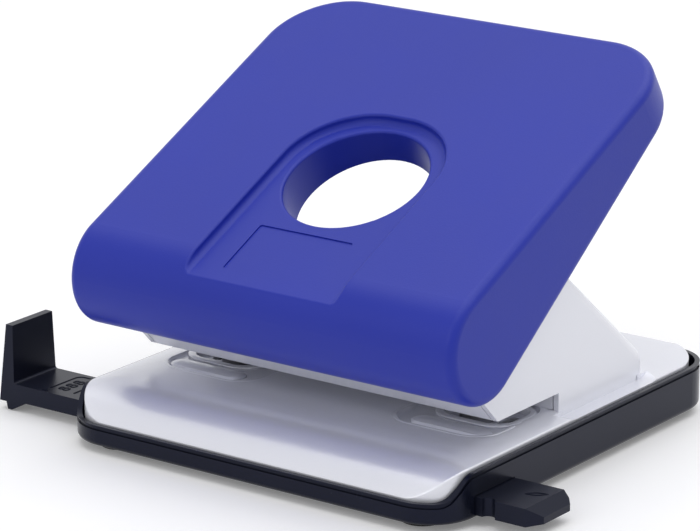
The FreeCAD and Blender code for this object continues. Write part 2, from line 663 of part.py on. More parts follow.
# ---- frame -------------------------------------------------------------------------------------------
def rivet_places():
    front_y = THROAT_END_Y + FRAME_THICK + FRONT_RIVET_FROM_BEND
    rear_x = (REAR_TAB_INNER_X + REAR_TAB_OUTER_X) / 2
    rear_y = FRAME_REAR_Y - REAR_TAB_DEPTH + REAR_RIVET_FROM_TAB
    return ((-FRONT_RIVET_X, front_y), (FRONT_RIVET_X, front_y), (-rear_x, rear_y), (rear_x, rear_y))


def side_bends(solid, half):
    """The edges at x = -half and half where a side turns into the sloping back and down to the plate."""
    return [e for e in solid.Edges if abs(abs(e.CenterOfMass.x) - half) < 0.01 and e.BoundBox.XLength < 0.01
            and e.BoundBox.YMax > THROAT_END_Y + FRAME_THICK and e.BoundBox.ZLength > 0.1]


def make_frame():
    """Two sides and a sloping back in one sweep of sheet, with two tabs behind that lie on the plate."""
    slope = (FRAME_TOP_Z - FRAME_REAR_FOOT_Z) / (FRAME_REAR_Y - FRAME_SLOPE_TOP_Y)
    outline = [
        (THROAT_FRONT_Y, THROAT_TOP_Z, 0), (LIP_TOP_Y, LIP_TOP_Z, 0), (LIP_TOP_Y, PIVOT_Z - EAR_R, 0),
        (PIVOT_Y, PIVOT_Z - EAR_R, 0), (PIVOT_Y, PIVOT_Z + EAR_R, 0), (FRAME_SLOPE_TOP_Y, FRAME_TOP_Z, 0),
        (FRAME_REAR_Y, FRAME_REAR_FOOT_Z, FRAME_FOOT_BEND_R), (FRAME_REAR_Y, SHELF_Z, 0),
        (THROAT_END_Y, SHELF_Z, 0), (THROAT_END_Y, THROAT_TOP_Z, 0),
    ]
    hood = rounded_prism_x(outline, -FRAME_HALF, FRAME_HALF)
    hood = hood.fuse(rod_x(EAR_R, -FRAME_HALF, FRAME_HALF, PIVOT_Y, PIVOT_Z)).removeSplitter()
    hood = hood.makeFillet(FRAME_REAR_BEND_R, side_bends(hood, FRAME_HALF))
    inner_half = FRAME_HALF - FRAME_THICK
    inner_rear = FRAME_REAR_Y - FRAME_THICK
    drop = FRAME_THICK * sqrt(1 + slope ** 2)
    high = FRAME_TOP_Z + EAR_R
    low = -FRAME_THICK
    inner_foot = FRAME_TOP_Z - drop - (inner_rear - FRAME_SLOPE_TOP_Y) * slope
    inner_outline = [
        (low, low, 0), (low, high, 0), (FRAME_SLOPE_TOP_Y - (high - FRAME_TOP_Z + drop) / slope, high, 0),
        (inner_rear, inner_foot, FRAME_FOOT_BEND_R - FRAME_THICK),
        (inner_rear, low, 0),
    ]
    inner = rounded_prism_x(inner_outline, -inner_half, inner_half)
    inner = inner.makeFillet(FRAME_REAR_BEND_R - FRAME_THICK, side_bends(inner, inner_half))
    rear_tab = box(REAR_TAB_INNER_X, REAR_TAB_OUTER_X, FRAME_REAR_Y - REAR_TAB_DEPTH, FRAME_REAR_Y,
                   PLATE_TOP_Z, PLATE_TOP_Z + FRAME_THICK).common(hood)
    notch = rounded_block(-FRAME_NOTCH_HALF_WIDTH, FRAME_NOTCH_HALF_WIDTH, FRAME_NOTCH_Z, 2 * FRAME_TOP_Z,
                          FRAME_NOTCH_R, 0, FRAME_REAR_Y - LIP_TOP_Y)
    notch.rotate(V(0, 0, 0), V(1, 0, 0), 90)
    notch.translate(V(0, FRAME_REAR_Y, 0))
    frame = hood.cut(inner).cut(notch).fuse(both_sides(rear_tab))
    frame = frame.cut(plate_block(0).cut(both_sides(foot_shelf())))
    for x, y in rivet_places():
        frame = frame.cut(rod_z(RIVET_SHANK / 2, FOOT_HEIGHT, PLATE_TOP_Z + FRAME_THICK + 1, x, y))
    bore = AXLE_DIAMETER / 2 + AXLE_BORE_CLEARANCE
    frame = frame.cut(rod_x(bore, -BASE_WIDTH, BASE_WIDTH, PIVOT_Y, PIVOT_Z))
    return frame.removeSplitter()


def make_bridge():
    """The web over the throat: turned up in front as a lip, down behind as the paper stop, ends folded up."""
    inner_half = FRAME_HALF - FRAME_THICK
    half = inner_half - BRIDGE_SIDE_GAP
    flange_half = half - STOP_FLANGE_END_GAP
    stop_rear = THROAT_END_Y + FRAME_THICK
    web = box(-half, half, THROAT_FRONT_Y, stop_rear, THROAT_TOP_Z, WEB_TOP_Z)
    paper_stop = box(-half, half, THROAT_END_Y, stop_rear, PLATE_TOP_Z, WEB_TOP_Z)
    stop_flange = box(-flange_half, flange_half, THROAT_END_Y, stop_rear + STOP_FLANGE,
                      PLATE_TOP_Z, PLATE_TOP_Z + FRAME_THICK)
    end = box(inner_half - FRAME_THICK, inner_half, BRIDGE_END_FRONT_Y, BRIDGE_END_REAR_Y,
              THROAT_TOP_Z, WEB_TOP_Z + BRIDGE_END_HEIGHT)
    fold = FRAME_THICK * (sqrt(2) - 1)
    lip_points = [
        (THROAT_FRONT_Y, THROAT_TOP_Z), (LIP_TOP_Y, LIP_TOP_Z), (LIP_TOP_Y, LIP_TOP_Z + LIP_UPSTAND),
        (LIP_TOP_Y + FRAME_THICK, LIP_TOP_Z + LIP_UPSTAND), (LIP_TOP_Y + FRAME_THICK, LIP_TOP_Z + fold),
        (THROAT_FRONT_Y + fold, WEB_TOP_Z), (THROAT_FRONT_Y + FRAME_THICK, THROAT_TOP_Z),
    ]
    bridge = polygon_prism_x(lip_points, -half, half)
    for piece in (web, paper_stop, stop_flange, both_sides(end)):
        bridge = bridge.fuse(piece)
    for x in (-PUNCH_X, PUNCH_X):
        bridge = bridge.cut(rod_z(BUSH_OUTER_DIAMETER / 2, THROAT_TOP_Z - 1, WEB_TOP_Z + 1, x, PUNCH_Y))
    for x, y in rivet_places():
        bridge = bridge.cut(rod_z(RIVET_SHANK / 2, FOOT_HEIGHT, PLATE_TOP_Z + FRAME_THICK + 1, x, y))
    return bridge.removeSplitter()


def make_frame_rivets():
    rivets = []
    for x, y in rivet_places():
        rivet = rod_z(RIVET_SHANK / 2, PLATE_TOP_Z - PLATE_THICK, PLATE_TOP_Z + FRAME_THICK, x, y)
        top = PLATE_TOP_Z + FRAME_THICK
        under = PLATE_TOP_Z - PLATE_THICK
        rivet = rivet.fuse(rod_z(RIVET_HEAD / 2, top, top + RIVET_HEAD_HEIGHT, x, y))
        rivet = rivet.fuse(rod_z(RIVET_HEAD / 2, under - RIVET_HEAD_HEIGHT, under, x, y))
        rivets.append(rivet)
    return Part.makeCompound(rivets)


def make_stop_buffer():
    """Rubber strip on the lip's upstand that the lever's heel comes back to."""
    return box(-BUFFER_HALF_WIDTH, BUFFER_HALF_WIDTH, LIP_TOP_Y - BUFFER_THICK, LIP_TOP_Y,
               LEVER_HEEL_BOTTOM_Z, LIP_TOP_Z + LIP_UPSTAND)


# ---- punches, dies and springs -----------------------------------------------------------------------
def make_die(x):
    """Hardened ring pressed up into the plate; below its cutting land the bore is wider."""
    under = PLATE_TOP_Z - PLATE_THICK - WELL_DEPTH
    die = rod_z(DIE_OUTER_DIAMETER / 2, under - DIE_FLANGE_THICK, PLATE_TOP_Z, x, PUNCH_Y)
    die = die.fuse(rod_z(DIE_FLANGE_DIAMETER / 2, under - DIE_FLANGE_THICK, under, x, PUNCH_Y))
    bore = PUNCH_DIAMETER / 2 + PUNCH_BORE_CLEARANCE
    die = die.cut(rod_z(bore, 0, PLATE_TOP_Z + 1, x, PUNCH_Y))
    return die.cut(rod_z(bore + DIE_RELIEF, 0, PLATE_TOP_Z - DIE_LAND, x, PUNCH_Y))


def make_guide_bush(x):
    bush = rod_z(BUSH_OUTER_DIAMETER / 2, THROAT_TOP_Z, BUSH_TOP_Z, x, PUNCH_Y)
    bush = bush.fuse(rod_z(BUSH_FLANGE_DIAMETER / 2, WEB_TOP_Z, BUSH_TOP_Z, x, PUNCH_Y))
    bush = bush.fuse(rod_z(BUSH_COLLAR_DIAMETER / 2, BUSH_TOP_Z, BUSH_TOP_Z + BUSH_COLLAR_HEIGHT, x, PUNCH_Y))
    bore = PUNCH_DIAMETER / 2 + PUNCH_BORE_CLEARANCE
    return bush.cut(rod_z(bore, 0, PIVOT_Z, x, PUNCH_Y))


def make_punch(x):
    """A ground pin with a pressed head; its tip is hollowed so that the rim of the tip cuts first."""
    pin = rod_z(PUNCH_DIAMETER / 2, PUNCH_TIP_Z, HEAD_TOP_Z - HEAD_THICK / 2, x, PUNCH_Y)
    head = rod_z(HEAD_DIAMETER / 2, HEAD_TOP_Z - HEAD_THICK, HEAD_TOP_Z, x, PUNCH_Y)
    head = softened(head, HEAD_THICK / 4, HEAD_TOP_Z)
    hollow = Part.makeCone(PUNCH_HOLLOW_R, PUNCH_HOLLOW_R / 10, PUNCH_HOLLOW_DEPTH, V(x, PUNCH_Y, PUNCH_TIP_Z),
                           V(0, 0, 1))
    return pin.fuse(head).cut(hollow).removeSplitter()


def make_return_spring(x):
    """A coil between the bush's flange and the punch's head, swept one turn at a time."""
    bottom = BUSH_TOP_Z + SPRING_WIRE / 2 + SPRING_END_GAP
    top = HEAD_TOP_Z - HEAD_THICK - SPRING_WIRE / 2 - SPRING_END_GAP
    radius = SPRING_MEAN_DIAMETER / 2
    path = Part.makeLongHelix((top - bottom) / SPRING_TURNS, top - bottom, radius)
    section = Part.Wire([Part.makeCircle(SPRING_WIRE / 2, V(radius, 0, 0), V(0, 1, 0))])
    coil = Part.Wire(path.Edges).makePipeShell([section], True, True)
    coil.translate(V(x, PUNCH_Y, bottom))
    return coil


# ---- axle and lever ----------------------------------------------------------------------------------
def make_pivot_axle():
    reach = FRAME_HALF + AXLE_END
    radius = AXLE_DIAMETER / 2
    axle = rod_x(radius, -reach, reach, PIVOT_Y, PIVOT_Z)
    x0 = FRAME_HALF + CLIP_GAP
    groove = rod_x(radius + 1, x0, x0 + CLIP_THICK, PIVOT_Y, PIVOT_Z)
    groove = groove.cut(rod_x(radius - AXLE_GROOVE_DEPTH, x0, x0 + CLIP_THICK, PIVOT_Y, PIVOT_Z))
    return axle.cut(both_sides(groove))


def make_axle_clip(side):
    """Retaining ring in the axle's groove, open on one side."""
    x0 = FRAME_HALF + CLIP_GAP
    x1 = x0 + CLIP_THICK
    clip = rod_x(CLIP_DIAMETER / 2, x0, x1, PIVOT_Y, PIVOT_Z)
    clip = clip.cut(rod_x(AXLE_DIAMETER / 2 - AXLE_GROOVE_DEPTH + CLIP_GRIP, x0 - 1, x1 + 1, PIVOT_Y, PIVOT_Z))
    clip = clip.cut(box(x0 - 1, x1 + 1, PIVOT_Y - CLIP_MOUTH_HALF, PIVOT_Y + CLIP_MOUTH_HALF,
                        PIVOT_Z - CLIP_DIAMETER, PIVOT_Z))
    return clip if side > 0 else mirrored(clip)


def make_axle_spacer(side):
    """Sleeve that keeps the lever in the middle of the frame."""
    x0 = LEVER_HALF + SPACER_GAP
    x1 = FRAME_HALF - FRAME_THICK - SPACER_GAP
    sleeve = rod_x(SPACER_DIAMETER / 2, x0, x1, PIVOT_Y, PIVOT_Z)
    sleeve = sleeve.cut(rod_x(AXLE_DIAMETER / 2 + AXLE_BORE_CLEARANCE, x0 - 1, x1 + 1, PIVOT_Y, PIVOT_Z))
    return sleeve if side > 0 else mirrored(sleeve)


def handle_frame(shape):
    """Move a shape drawn in the handle's own axes to its place.

    In those axes the roof's top face is w = 0, s runs up the slope with s = 0 over the pivot's foot on the
    roof, and x stays x. The roof lies HANDLE_NOSE_R from the pivot, square to the slope.
    """
    tilt = radians(HANDLE_TILT)
    origin = V(0, PIVOT_Y - HANDLE_NOSE_R * sin(tilt), PIVOT_Z + HANDLE_NOSE_R * cos(tilt))
    placed = shape.copy()
    placed.Placement = FreeCAD.Placement(origin, FreeCAD.Rotation(V(1, 0, 0), HANDLE_TILT)) * placed.Placement
    return placed


def make_lever():
    """Steel yoke: two arms on the axle, joined by a heel strip in front and a web under the roof behind."""
    outer = LEVER_HALF
    inner = outer - LEVER_THICK
    arm = handle_frame(box(inner, outer, 0, LEVER_BACK_S, COVER_BOSS_W - LEVER_ARM_DEPTH, COVER_BOSS_W))
    arm = arm.fuse(rod_x(LEVER_EAR_R, inner, outer, PIVOT_Y, PIVOT_Z))
    cheek = polygon_prism_x([
        (PIVOT_Y, PIVOT_Z + LEVER_EAR_R),
        (PIVOT_Y + LEVER_CHEEK_FRONT, PIVOT_Z - LEVER_EAR_R + LEVER_HEEL_GAP),
        (ROD_Y + LEVER_CHEEK_BEHIND_ROD / 2, ROD_Z - LEVER_CHEEK_UNDER_ROD),
        (ROD_Y + LEVER_CHEEK_BEHIND_ROD, ROD_Z),
        (ROD_Y + LEVER_CHEEK_BEHIND_ROD, PIVOT_Z + LEVER_EAR_R
         + (ROD_Y + LEVER_CHEEK_BEHIND_ROD - PIVOT_Y) * tan(radians(HANDLE_TILT))),
    ], inner, outer)
    arm = arm.fuse(cheek)
    web = handle_frame(box(-outer, outer, LEVER_WEB_FRONT_S, LEVER_BACK_S,
                           COVER_BOSS_W - LEVER_THICK, COVER_BOSS_W))
    heel_rear = LIP_TOP_Y - BUFFER_THICK - LEVER_HEEL_GAP
    heel = box(-outer, outer, heel_rear - LEVER_THICK, heel_rear, LEVER_HEEL_BOTTOM_Z,
               PIVOT_Z - LEVER_EAR_R + LEVER_HEEL_OVERLAP)
    lever = both_sides(arm).fuse(web).fuse(heel)
    bore = AXLE_DIAMETER / 2 + AXLE_BORE_CLEARANCE
    lever = lever.cut(rod_x(bore, -outer - 1, outer + 1, PIVOT_Y, PIVOT_Z))
    lever = lever.cut(rod_x(ROD_DIAMETER / 2, -outer - 1, outer + 1, ROD_Y, ROD_Z))
    for x, s in screw_places():
        lever = lever.cut(handle_frame(rod_z(SCREW_SHANK / 2 + SCREW_HOLE_CLEARANCE,
                                             COVER_BOSS_W - 2 * LEVER_THICK, COVER_BOSS_W + 1, x, s)))
    return lever.removeSplitter()


def make_press_rod():
    reach = LEVER_HALF + ROD_OVERHANG
    return rod_x(ROD_DIAMETER / 2, -reach, reach, ROD_Y, ROD_Z)


# ---- handle cover ------------------------------------------------------------------------------------
def screw_places():
    return [(x, s) for x in (-SCREW_X, SCREW_X) for s in (SCREW_FRONT_S, SCREW_REAR_S)]


def handle_outline(inset, depth):
    """The handle seen square to its roof, at a depth below it: drafted sides, big round rear corners."""
    half = HANDLE_HALF_WIDTH - inset + depth * tan(radians(HANDLE_SIDE_DRAFT))
    rear = HANDLE_LENGTH_S - inset + depth * tan(radians(HANDLE_REAR_DRAFT))
    front = -2.5 * HANDLE_NOSE_R
    r = HANDLE_REAR_CORNER_R - inset
    k = r * (1 - sqrt(0.5))
    w = -depth
    edges = [
        line(V(-half, front, w), V(half, front, w)),
        line(V(half, front, w), V(half, rear - r, w)),
        arc(V(half, rear - r, w), V(half - k, rear - k, w), V(half - r, rear, w)),
        line(V(half - r, rear, w), V(-half + r, rear, w)),
        arc(V(-half + r, rear, w), V(-half + k, rear - k, w), V(-half, rear - r, w)),
        line(V(-half, rear - r, w), V(-half, front, w)),
    ]
    return Part.Wire(edges)


def lower_nose():
    """Centre and outer radius of the nose's lower half, which runs from the nose's front into the underside."""
    shift = (HANDLE_UNDER_R - HANDLE_NOSE_R) / (1 + sin(radians(HANDLE_UNDER_TILT)))
    return yz(PIVOT_Y + shift, PIVOT_Z), HANDLE_NOSE_R + shift


def handle_profile(inset, roof, open_below):
    """Side view in the YZ plane: roof line, round nose about the pivot, and the rising underside."""
    top = radians(HANDLE_TILT)
    low = radians(HANDLE_UNDER_TILT)
    r = HANDLE_NOSE_R - inset
    centre, lower_r = lower_nose()
    lower_r -= inset
    roof_r = HANDLE_NOSE_R - roof
    reach = HANDLE_LENGTH_S * 1.3
    roof_foot = yz(PIVOT_Y - roof_r * sin(top), PIVOT_Z + roof_r * cos(top))
    roof_end = roof_foot + yz(reach * cos(top), reach * sin(top))
    under = yz(sin(low), -cos(low))
    nose_foot = centre + under * lower_r
    under_foot = nose_foot + under * open_below
    under_end = under_foot + yz(reach * cos(low), reach * sin(low))
    nose_front = yz(PIVOT_Y - r, PIVOT_Z)
    nose_top = yz(PIVOT_Y - r * sin(top), PIVOT_Z + r * cos(top))
    nose_upper = yz(PIVOT_Y - r * sin((top + radians(90)) / 2), PIVOT_Z + r * cos((top + radians(90)) / 2))
    nose_lower = centre + yz(-sin((radians(90) - low) / 2), -cos((radians(90) - low) / 2)) * lower_r
    edges = [arc(nose_foot, nose_lower, nose_front), arc(nose_front, nose_upper, nose_top)]
    if roof != inset:
        edges.append(line(nose_top, roof_foot))
    edges.append(line(roof_foot, roof_end))
    edges.append(line(roof_end, under_end))
    edges.append(line(under_end, under_foot))
    if open_below:
        edges.append(line(under_foot, nose_foot))
    return edges


def handle_solid(inset, roof, open_below):
    """The handle's drafted outline, cut to its side view; open_below carries a hollow out below."""
    deep = HANDLE_LENGTH_S / 2
    tapered = handle_frame(Part.makeLoft([handle_outline(inset, 0), handle_outline(inset, deep)], True, True))
    return tapered.common(prism_x(handle_profile(inset, roof, open_below), -BASE_WIDTH, BASE_WIDTH))


def recess_block(grow, w0, w1):
    """The long channel down the roof: arched behind, about the finger hole, and open over the nose."""
    half = RECESS_HALF_WIDTH + grow
    front = -3 * HANDLE_NOSE_R
    return rounded_block(-half, half, front, RECESS_REAR_S + grow, RECESS_CORNER_R + grow, w0, w1)


def recess_cutter():
    """The channel's own volume, coved where its walls meet its floor, and the sunk panel in its floor."""
    block = recess_block(0, -RECESS_DEPTH, HANDLE_NOSE_R)
    floor = [e for e in block.Edges if e.BoundBox.ZMax < -RECESS_DEPTH + 0.01 and e.BoundBox.YMax > 0]
    block = block.makeFillet(RECESS_COVE_R, floor)
    panel = rounded_block(-PANEL_HALF_WIDTH, PANEL_HALF_WIDTH, PANEL_FRONT_S, PANEL_REAR_S, PANEL_CORNER_R,
                          -RECESS_DEPTH - PANEL_DEPTH, 0)
    return block.fuse(panel)


def finger_hole():
    """The hole's own volume: its wall draws in a little on the way down from the channel's floor."""
    narrowing = (FINGER_HOLE_R - FINGER_END_R) / (FINGER_TUBE_DEPTH - RECESS_DEPTH)
    low, high = -2 * FINGER_TUBE_DEPTH, HANDLE_NOSE_R
    low_r = FINGER_HOLE_R + narrowing * (low + RECESS_DEPTH)
    high_r = FINGER_HOLE_R + narrowing * (high + RECESS_DEPTH)
    return Part.makeCone(low_r, high_r, high - low, V(0, FINGER_HOLE_S, low))


def finger_tube():
    """The wall round the finger hole under the roof, with its lower end cut at a slant, shorter behind."""
    radius = FINGER_HOLE_R + FINGER_TUBE_WALL
    tube = rod_z(radius, -2 * FINGER_TUBE_DEPTH, -RECESS_DEPTH, 0, FINGER_HOLE_S)
    below = box(-2 * radius, 2 * radius, -2 * radius, 2 * radius, -2 * FINGER_TUBE_DEPTH, 0)
    below.rotate(V(0, 0, 0), V(1, 0, 0), FINGER_TUBE_END_TILT)
    below.translate(V(0, FINGER_HOLE_S, -FINGER_TUBE_DEPTH))
    return tube.cut(below)


def cover_mouth():
    """What is open below between the side walls, from the front lip back to the underside."""
    tilt = radians(HANDLE_LIP_ANGLE)
    far = 4 * HANDLE_NOSE_R
    wedge = [(PIVOT_Y, PIVOT_Z), (PIVOT_Y + far * cos(tilt), PIVOT_Z - far * sin(tilt)),
             (PIVOT_Y + far * 2, PIVOT_Z - far), (PIVOT_Y + far * 2, PIVOT_Z)]
    inside = HANDLE_HALF_WIDTH - HANDLE_WALL
    above_roof = handle_frame(box(-BASE_WIDTH, BASE_WIDTH, 0, 2 * HANDLE_LENGTH_S, -HANDLE_ROOF, HANDLE_LENGTH_S))
    return polygon_prism_x(wedge, -inside, inside).cut(above_roof)


def make_handle_cover():
    outer = handle_solid(0, 0, 0)
    outer = outer.makeFillet(HANDLE_EDGE_R, [e for e in outer.Edges if on_cover_edge(e)])
    cover = outer.cut(handle_solid(HANDLE_WALL, HANDLE_ROOF, HANDLE_MOUTH)).cut(cover_mouth())
    roof_pad = recess_block(HANDLE_WALL, -RECESS_DEPTH - HANDLE_ROOF, -HANDLE_ROOF / 2)
    additions = handle_frame(roof_pad).common(outer).fuse(handle_frame(finger_tube()))
    for x, s in screw_places():
        boss = rod_z(BOSS_DIAMETER / 2, COVER_BOSS_W, -HANDLE_ROOF / 2, x, s)
        additions = additions.fuse(handle_frame(boss))
    cover = cover.fuse(additions).cut(handle_frame(recess_cutter()))
    cover = cover.cut(handle_frame(finger_hole()))
    cover = cover.makeFillet(RECESS_EDGE_R, [e for e in cover.Edges if on_recess_edge(e)])
    cover = cover.makeFillet(FINGER_LIP_R, [e for e in cover.Edges if on_finger_lip(e)])
    for x, s in screw_places():
        pilot = rod_z(SCREW_SHANK / 2, COVER_BOSS_W - LEVER_THICK, COVER_BOSS_W - LEVER_THICK + SCREW_LENGTH, x, s)
        cover = cover.cut(handle_frame(pilot))
    return cover.removeSplitter()


def on_cover_edge(edge):
    """True for the edges that bound the roof and the nose, where the cover is softly rounded."""
    centre, lower_r = lower_nose()
    on_roof = on_nose = True
    for p in edge.discretize(5):
        x, s, w = in_handle_axes(p)
        on_roof = on_roof and abs(w) < 0.02
        above = p.z > PIVOT_Z - 0.01
        middle = yz(PIVOT_Y, PIVOT_Z) if above else centre
        radius = HANDLE_NOSE_R if above else lower_r
        on_nose = on_nose and abs((yz(p.y, p.z) - middle).Length - radius) < 0.02
    across = edge.BoundBox.XLength > BASE_WIDTH / 2 and edge.CenterOfMass.y < PUNCH_Y
    return (on_roof or on_nose) and not across


def in_handle_axes(point):
    """A point's x, s and w: across, up the slope from over the pivot, and above the roof."""
    tilt = radians(HANDLE_TILT)
    y, z = point.y - PIVOT_Y, point.z - PIVOT_Z
    return point.x, y * cos(tilt) + z * sin(tilt), z * cos(tilt) - y * sin(tilt) - HANDLE_NOSE_R


def on_recess_edge(edge):
    """True for the edges where the channel's walls come up through the roof and over the nose."""
    on_wall = True
    for x, s, w in [in_handle_axes(p) for p in edge.discretize(5)]:
        across = abs(x) - (RECESS_HALF_WIDTH - RECESS_CORNER_R)
        along = s - (RECESS_REAR_S - RECESS_CORNER_R)
        off = max(across, along) if min(across, along) < 0 else sqrt(across ** 2 + along ** 2)
        on_wall = on_wall and abs(off - RECESS_CORNER_R) < 0.05 and w > -RECESS_DEPTH / 2
    return on_wall


def on_finger_lip(edge):
    """True for the edge where the finger hole comes up through the channel's floor."""
    places = [in_handle_axes(p) for p in edge.discretize(5)]
    return all(abs(sqrt(x ** 2 + (s - FINGER_HOLE_S) ** 2) - FINGER_HOLE_R) < 0.05 and w > -RECESS_DEPTH - 0.1
               for x, s, w in places)


def make_cover_screws():
    seat = COVER_BOSS_W - LEVER_THICK
    screws = []
    for x, s in screw_places():
        screw = rod_z(SCREW_SHANK / 2, seat, seat + SCREW_LENGTH, x, s)
        head = rod_z(SCREW_HEAD / 2, seat - SCREW_HEAD_HEIGHT, seat, x, s)
        screws.append(handle_frame(screw.fuse(head)))
    return Part.makeCompound(screws)


# ---- paper guide -------------------------------------------------------------------------------------
def polygon_prism(points, push):
    """A closed polygon of vectors, pushed along a vector."""
    return Part.Face(Part.makePolygon(points + points[:1])).extrude(push)


def make_rail():
    """A flat bar that runs right through the base, with notches in front and a thin, chamfered right end."""
    y0, y1 = RAIL_FRONT_Y, RAIL_REAR_Y
    right = RAIL_RIGHT_X
    bottom, top = RAIL_BOTTOM_Z, RAIL_TOP_Z
    rail = box(FENCE_X - 1, right, y0, y1, bottom, top)
    front_corner = [V(right, y0, bottom), V(right, y0 + RAIL_FRONT_CHAMFER_Y, bottom),
                    V(right - RAIL_FRONT_CHAMFER_X, y0, bottom)]
    rear_corner = [V(right, y1, bottom), V(right, y1 - RAIL_REAR_CHAMFER, bottom),
                   V(right - RAIL_REAR_CHAMFER, y1, bottom)]
    for corner in (front_corner, rear_corner):
        rail = rail.cut(polygon_prism(corner, V(0, 0, RAIL_THICK)))
    tip = [V(right - RAIL_TIP_LENGTH, y0, top), V(right, y0, top), V(right, y0, bottom + RAIL_TIP_THICK)]
    rail = rail.cut(polygon_prism(tip, V(0, RAIL_WIDTH, 0)))
    for stop in GUIDE_STOPS:
        notch = rod_z(RAIL_NOTCH_R, bottom - 1, top + 1, DETENT_X + stop, y0 - RAIL_NOTCH_SETBACK)
        rail = rail.cut(notch)
    return rail


def make_fence():
    """The upright that the paper's edge meets: thin at the top, and leaning in a little behind."""
    y0, y1 = RAIL_FRONT_Y, RAIL_REAR_Y
    profile = [V(FENCE_X, y0, FENCE_BOTTOM_Z), V(FENCE_X, y0, FENCE_TOP_Z),
               V(FENCE_X - FENCE_TOP_THICK, y0, FENCE_TOP_Z), V(FENCE_X - FENCE_FOOT_THICK, y0, FENCE_BOTTOM_Z)]
    fence = polygon_prism(profile, V(0, RAIL_WIDTH, 0))
    far = FENCE_X - 2 * FENCE_FOOT_THICK
    behind = [V(far, y1, RAIL_TOP_Z), V(far, y1 - FENCE_TAPER, FENCE_TOP_Z), V(far, y1, FENCE_TOP_Z)]
    return fence.cut(polygon_prism(behind, V(4 * FENCE_FOOT_THICK, 0, 0)))


def make_guide_nub():
    """A small ramp under the rail's left end that lifts it level with the desk."""
    foot = FENCE_X + NUB_REACH
    left = FENCE_X - FENCE_FOOT_THICK + FENCE_TOP_THICK
    flat = left + NUB_TIP_RUN
    profile = [V(left, RAIL_FRONT_Y, RAIL_BOTTOM_Z + 1), V(left, RAIL_FRONT_Y, NUB_TIP_Z),
               V(flat, RAIL_FRONT_Y, NUB_BOTTOM_Z), V(flat + NUB_FLAT, RAIL_FRONT_Y, NUB_BOTTOM_Z),
               V(foot, RAIL_FRONT_Y, RAIL_BOTTOM_Z), V(foot, RAIL_FRONT_Y, RAIL_BOTTOM_Z + 1)]
    return polygon_prism(profile, V(0, NUB_LENGTH, 0))


def make_paper_guide():
    """The rail with the fence on its left end and a fillet between them."""
    guide = make_rail().fuse(make_fence()).fuse(make_guide_nub()).removeSplitter()
    inside_corner = [e for e in guide.Edges if abs(e.CenterOfMass.x - FENCE_X) < 0.01
                     and abs(e.CenterOfMass.z - RAIL_TOP_Z) < 0.01 and e.BoundBox.YLength > RAIL_WIDTH / 2]
    return guide.makeFillet(FENCE_FILLET_R, inside_corner)


def make_detent_leaf():
    """A bowed leaf spring, its ends on the tray's rib and its crown by the rail's notched edge."""
    crown_y = RAIL_FRONT_Y - LEAF_GAP
    end_y = RAIL_FRONT_Y - RAIL_CLEARANCE - LEAF_BOW
    z = TRAY_FLOOR_Z + LEAF_FLOOR_GAP
    x0, x1 = DETENT_X - LEAF_HALF_LENGTH, DETENT_X + LEAF_HALF_LENGTH
    outer = arc(V(x0, end_y, z), V(DETENT_X, crown_y, z), V(x1, end_y, z))
    inner = arc(V(x1, end_y - LEAF_THICK, z), V(DETENT_X, crown_y - LEAF_THICK, z), V(x0, end_y - LEAF_THICK, z))
    right_end = line(V(x1, end_y, z), V(x1, end_y - LEAF_THICK, z))
    left_end = line(V(x0, end_y - LEAF_THICK, z), V(x0, end_y, z))
    return Part.Face(Part.Wire([outer, right_end, inner, left_end])).extrude(V(0, 0, LEAF_HEIGHT))


# ---- write every sub-part ----------------------------------------------------------------------------
save("base_tray", make_base_tray())
save("rubber_feet", make_rubber_feet())
save("detent_leaf", make_detent_leaf())
save("hinge_pin", make_hinge_pin())
save("base_plate", make_base_plate())
save("punch_frame", make_frame())
save("punch_bridge", make_bridge())
save("frame_rivets", make_frame_rivets())
save("stop_buffer", make_stop_buffer())
save("pivot_axle", make_pivot_axle())
save("lever_yoke", make_lever())
save("press_rod", make_press_rod())
save("handle_cover", make_handle_cover())
save("cover_screws", make_cover_screws())
save("paper_guide", make_paper_guide())
for word, side in (("left", -1), ("right", 1)):
    save("die_" + word, make_die(side * PUNCH_X))
    save("guide_bush_" + word, make_guide_bush(side * PUNCH_X))
    save("punch_" + word, make_punch(side * PUNCH_X))
    save("return_spring_" + word, make_return_spring(side * PUNCH_X))
    save("axle_clip_" + word, make_axle_clip(side))
    save("axle_spacer_" + word, make_axle_spacer(side))
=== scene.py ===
# %% [markdown]
# # A two-hole paper punch, dressed in Blender
# The solids of the punch come in as a fixed frame: every part already stands where it belongs, in metres,
# with the origin on the desk under the middle of the base. This script gives the parts their finishes, adds
# the forms that only show close up, and sets up the floor, the light and the camera. Each cell does one
# step.

# %% Load the frame
import math

import bmesh
import bpy
import numpy as np
from mathutils import Matrix, Vector


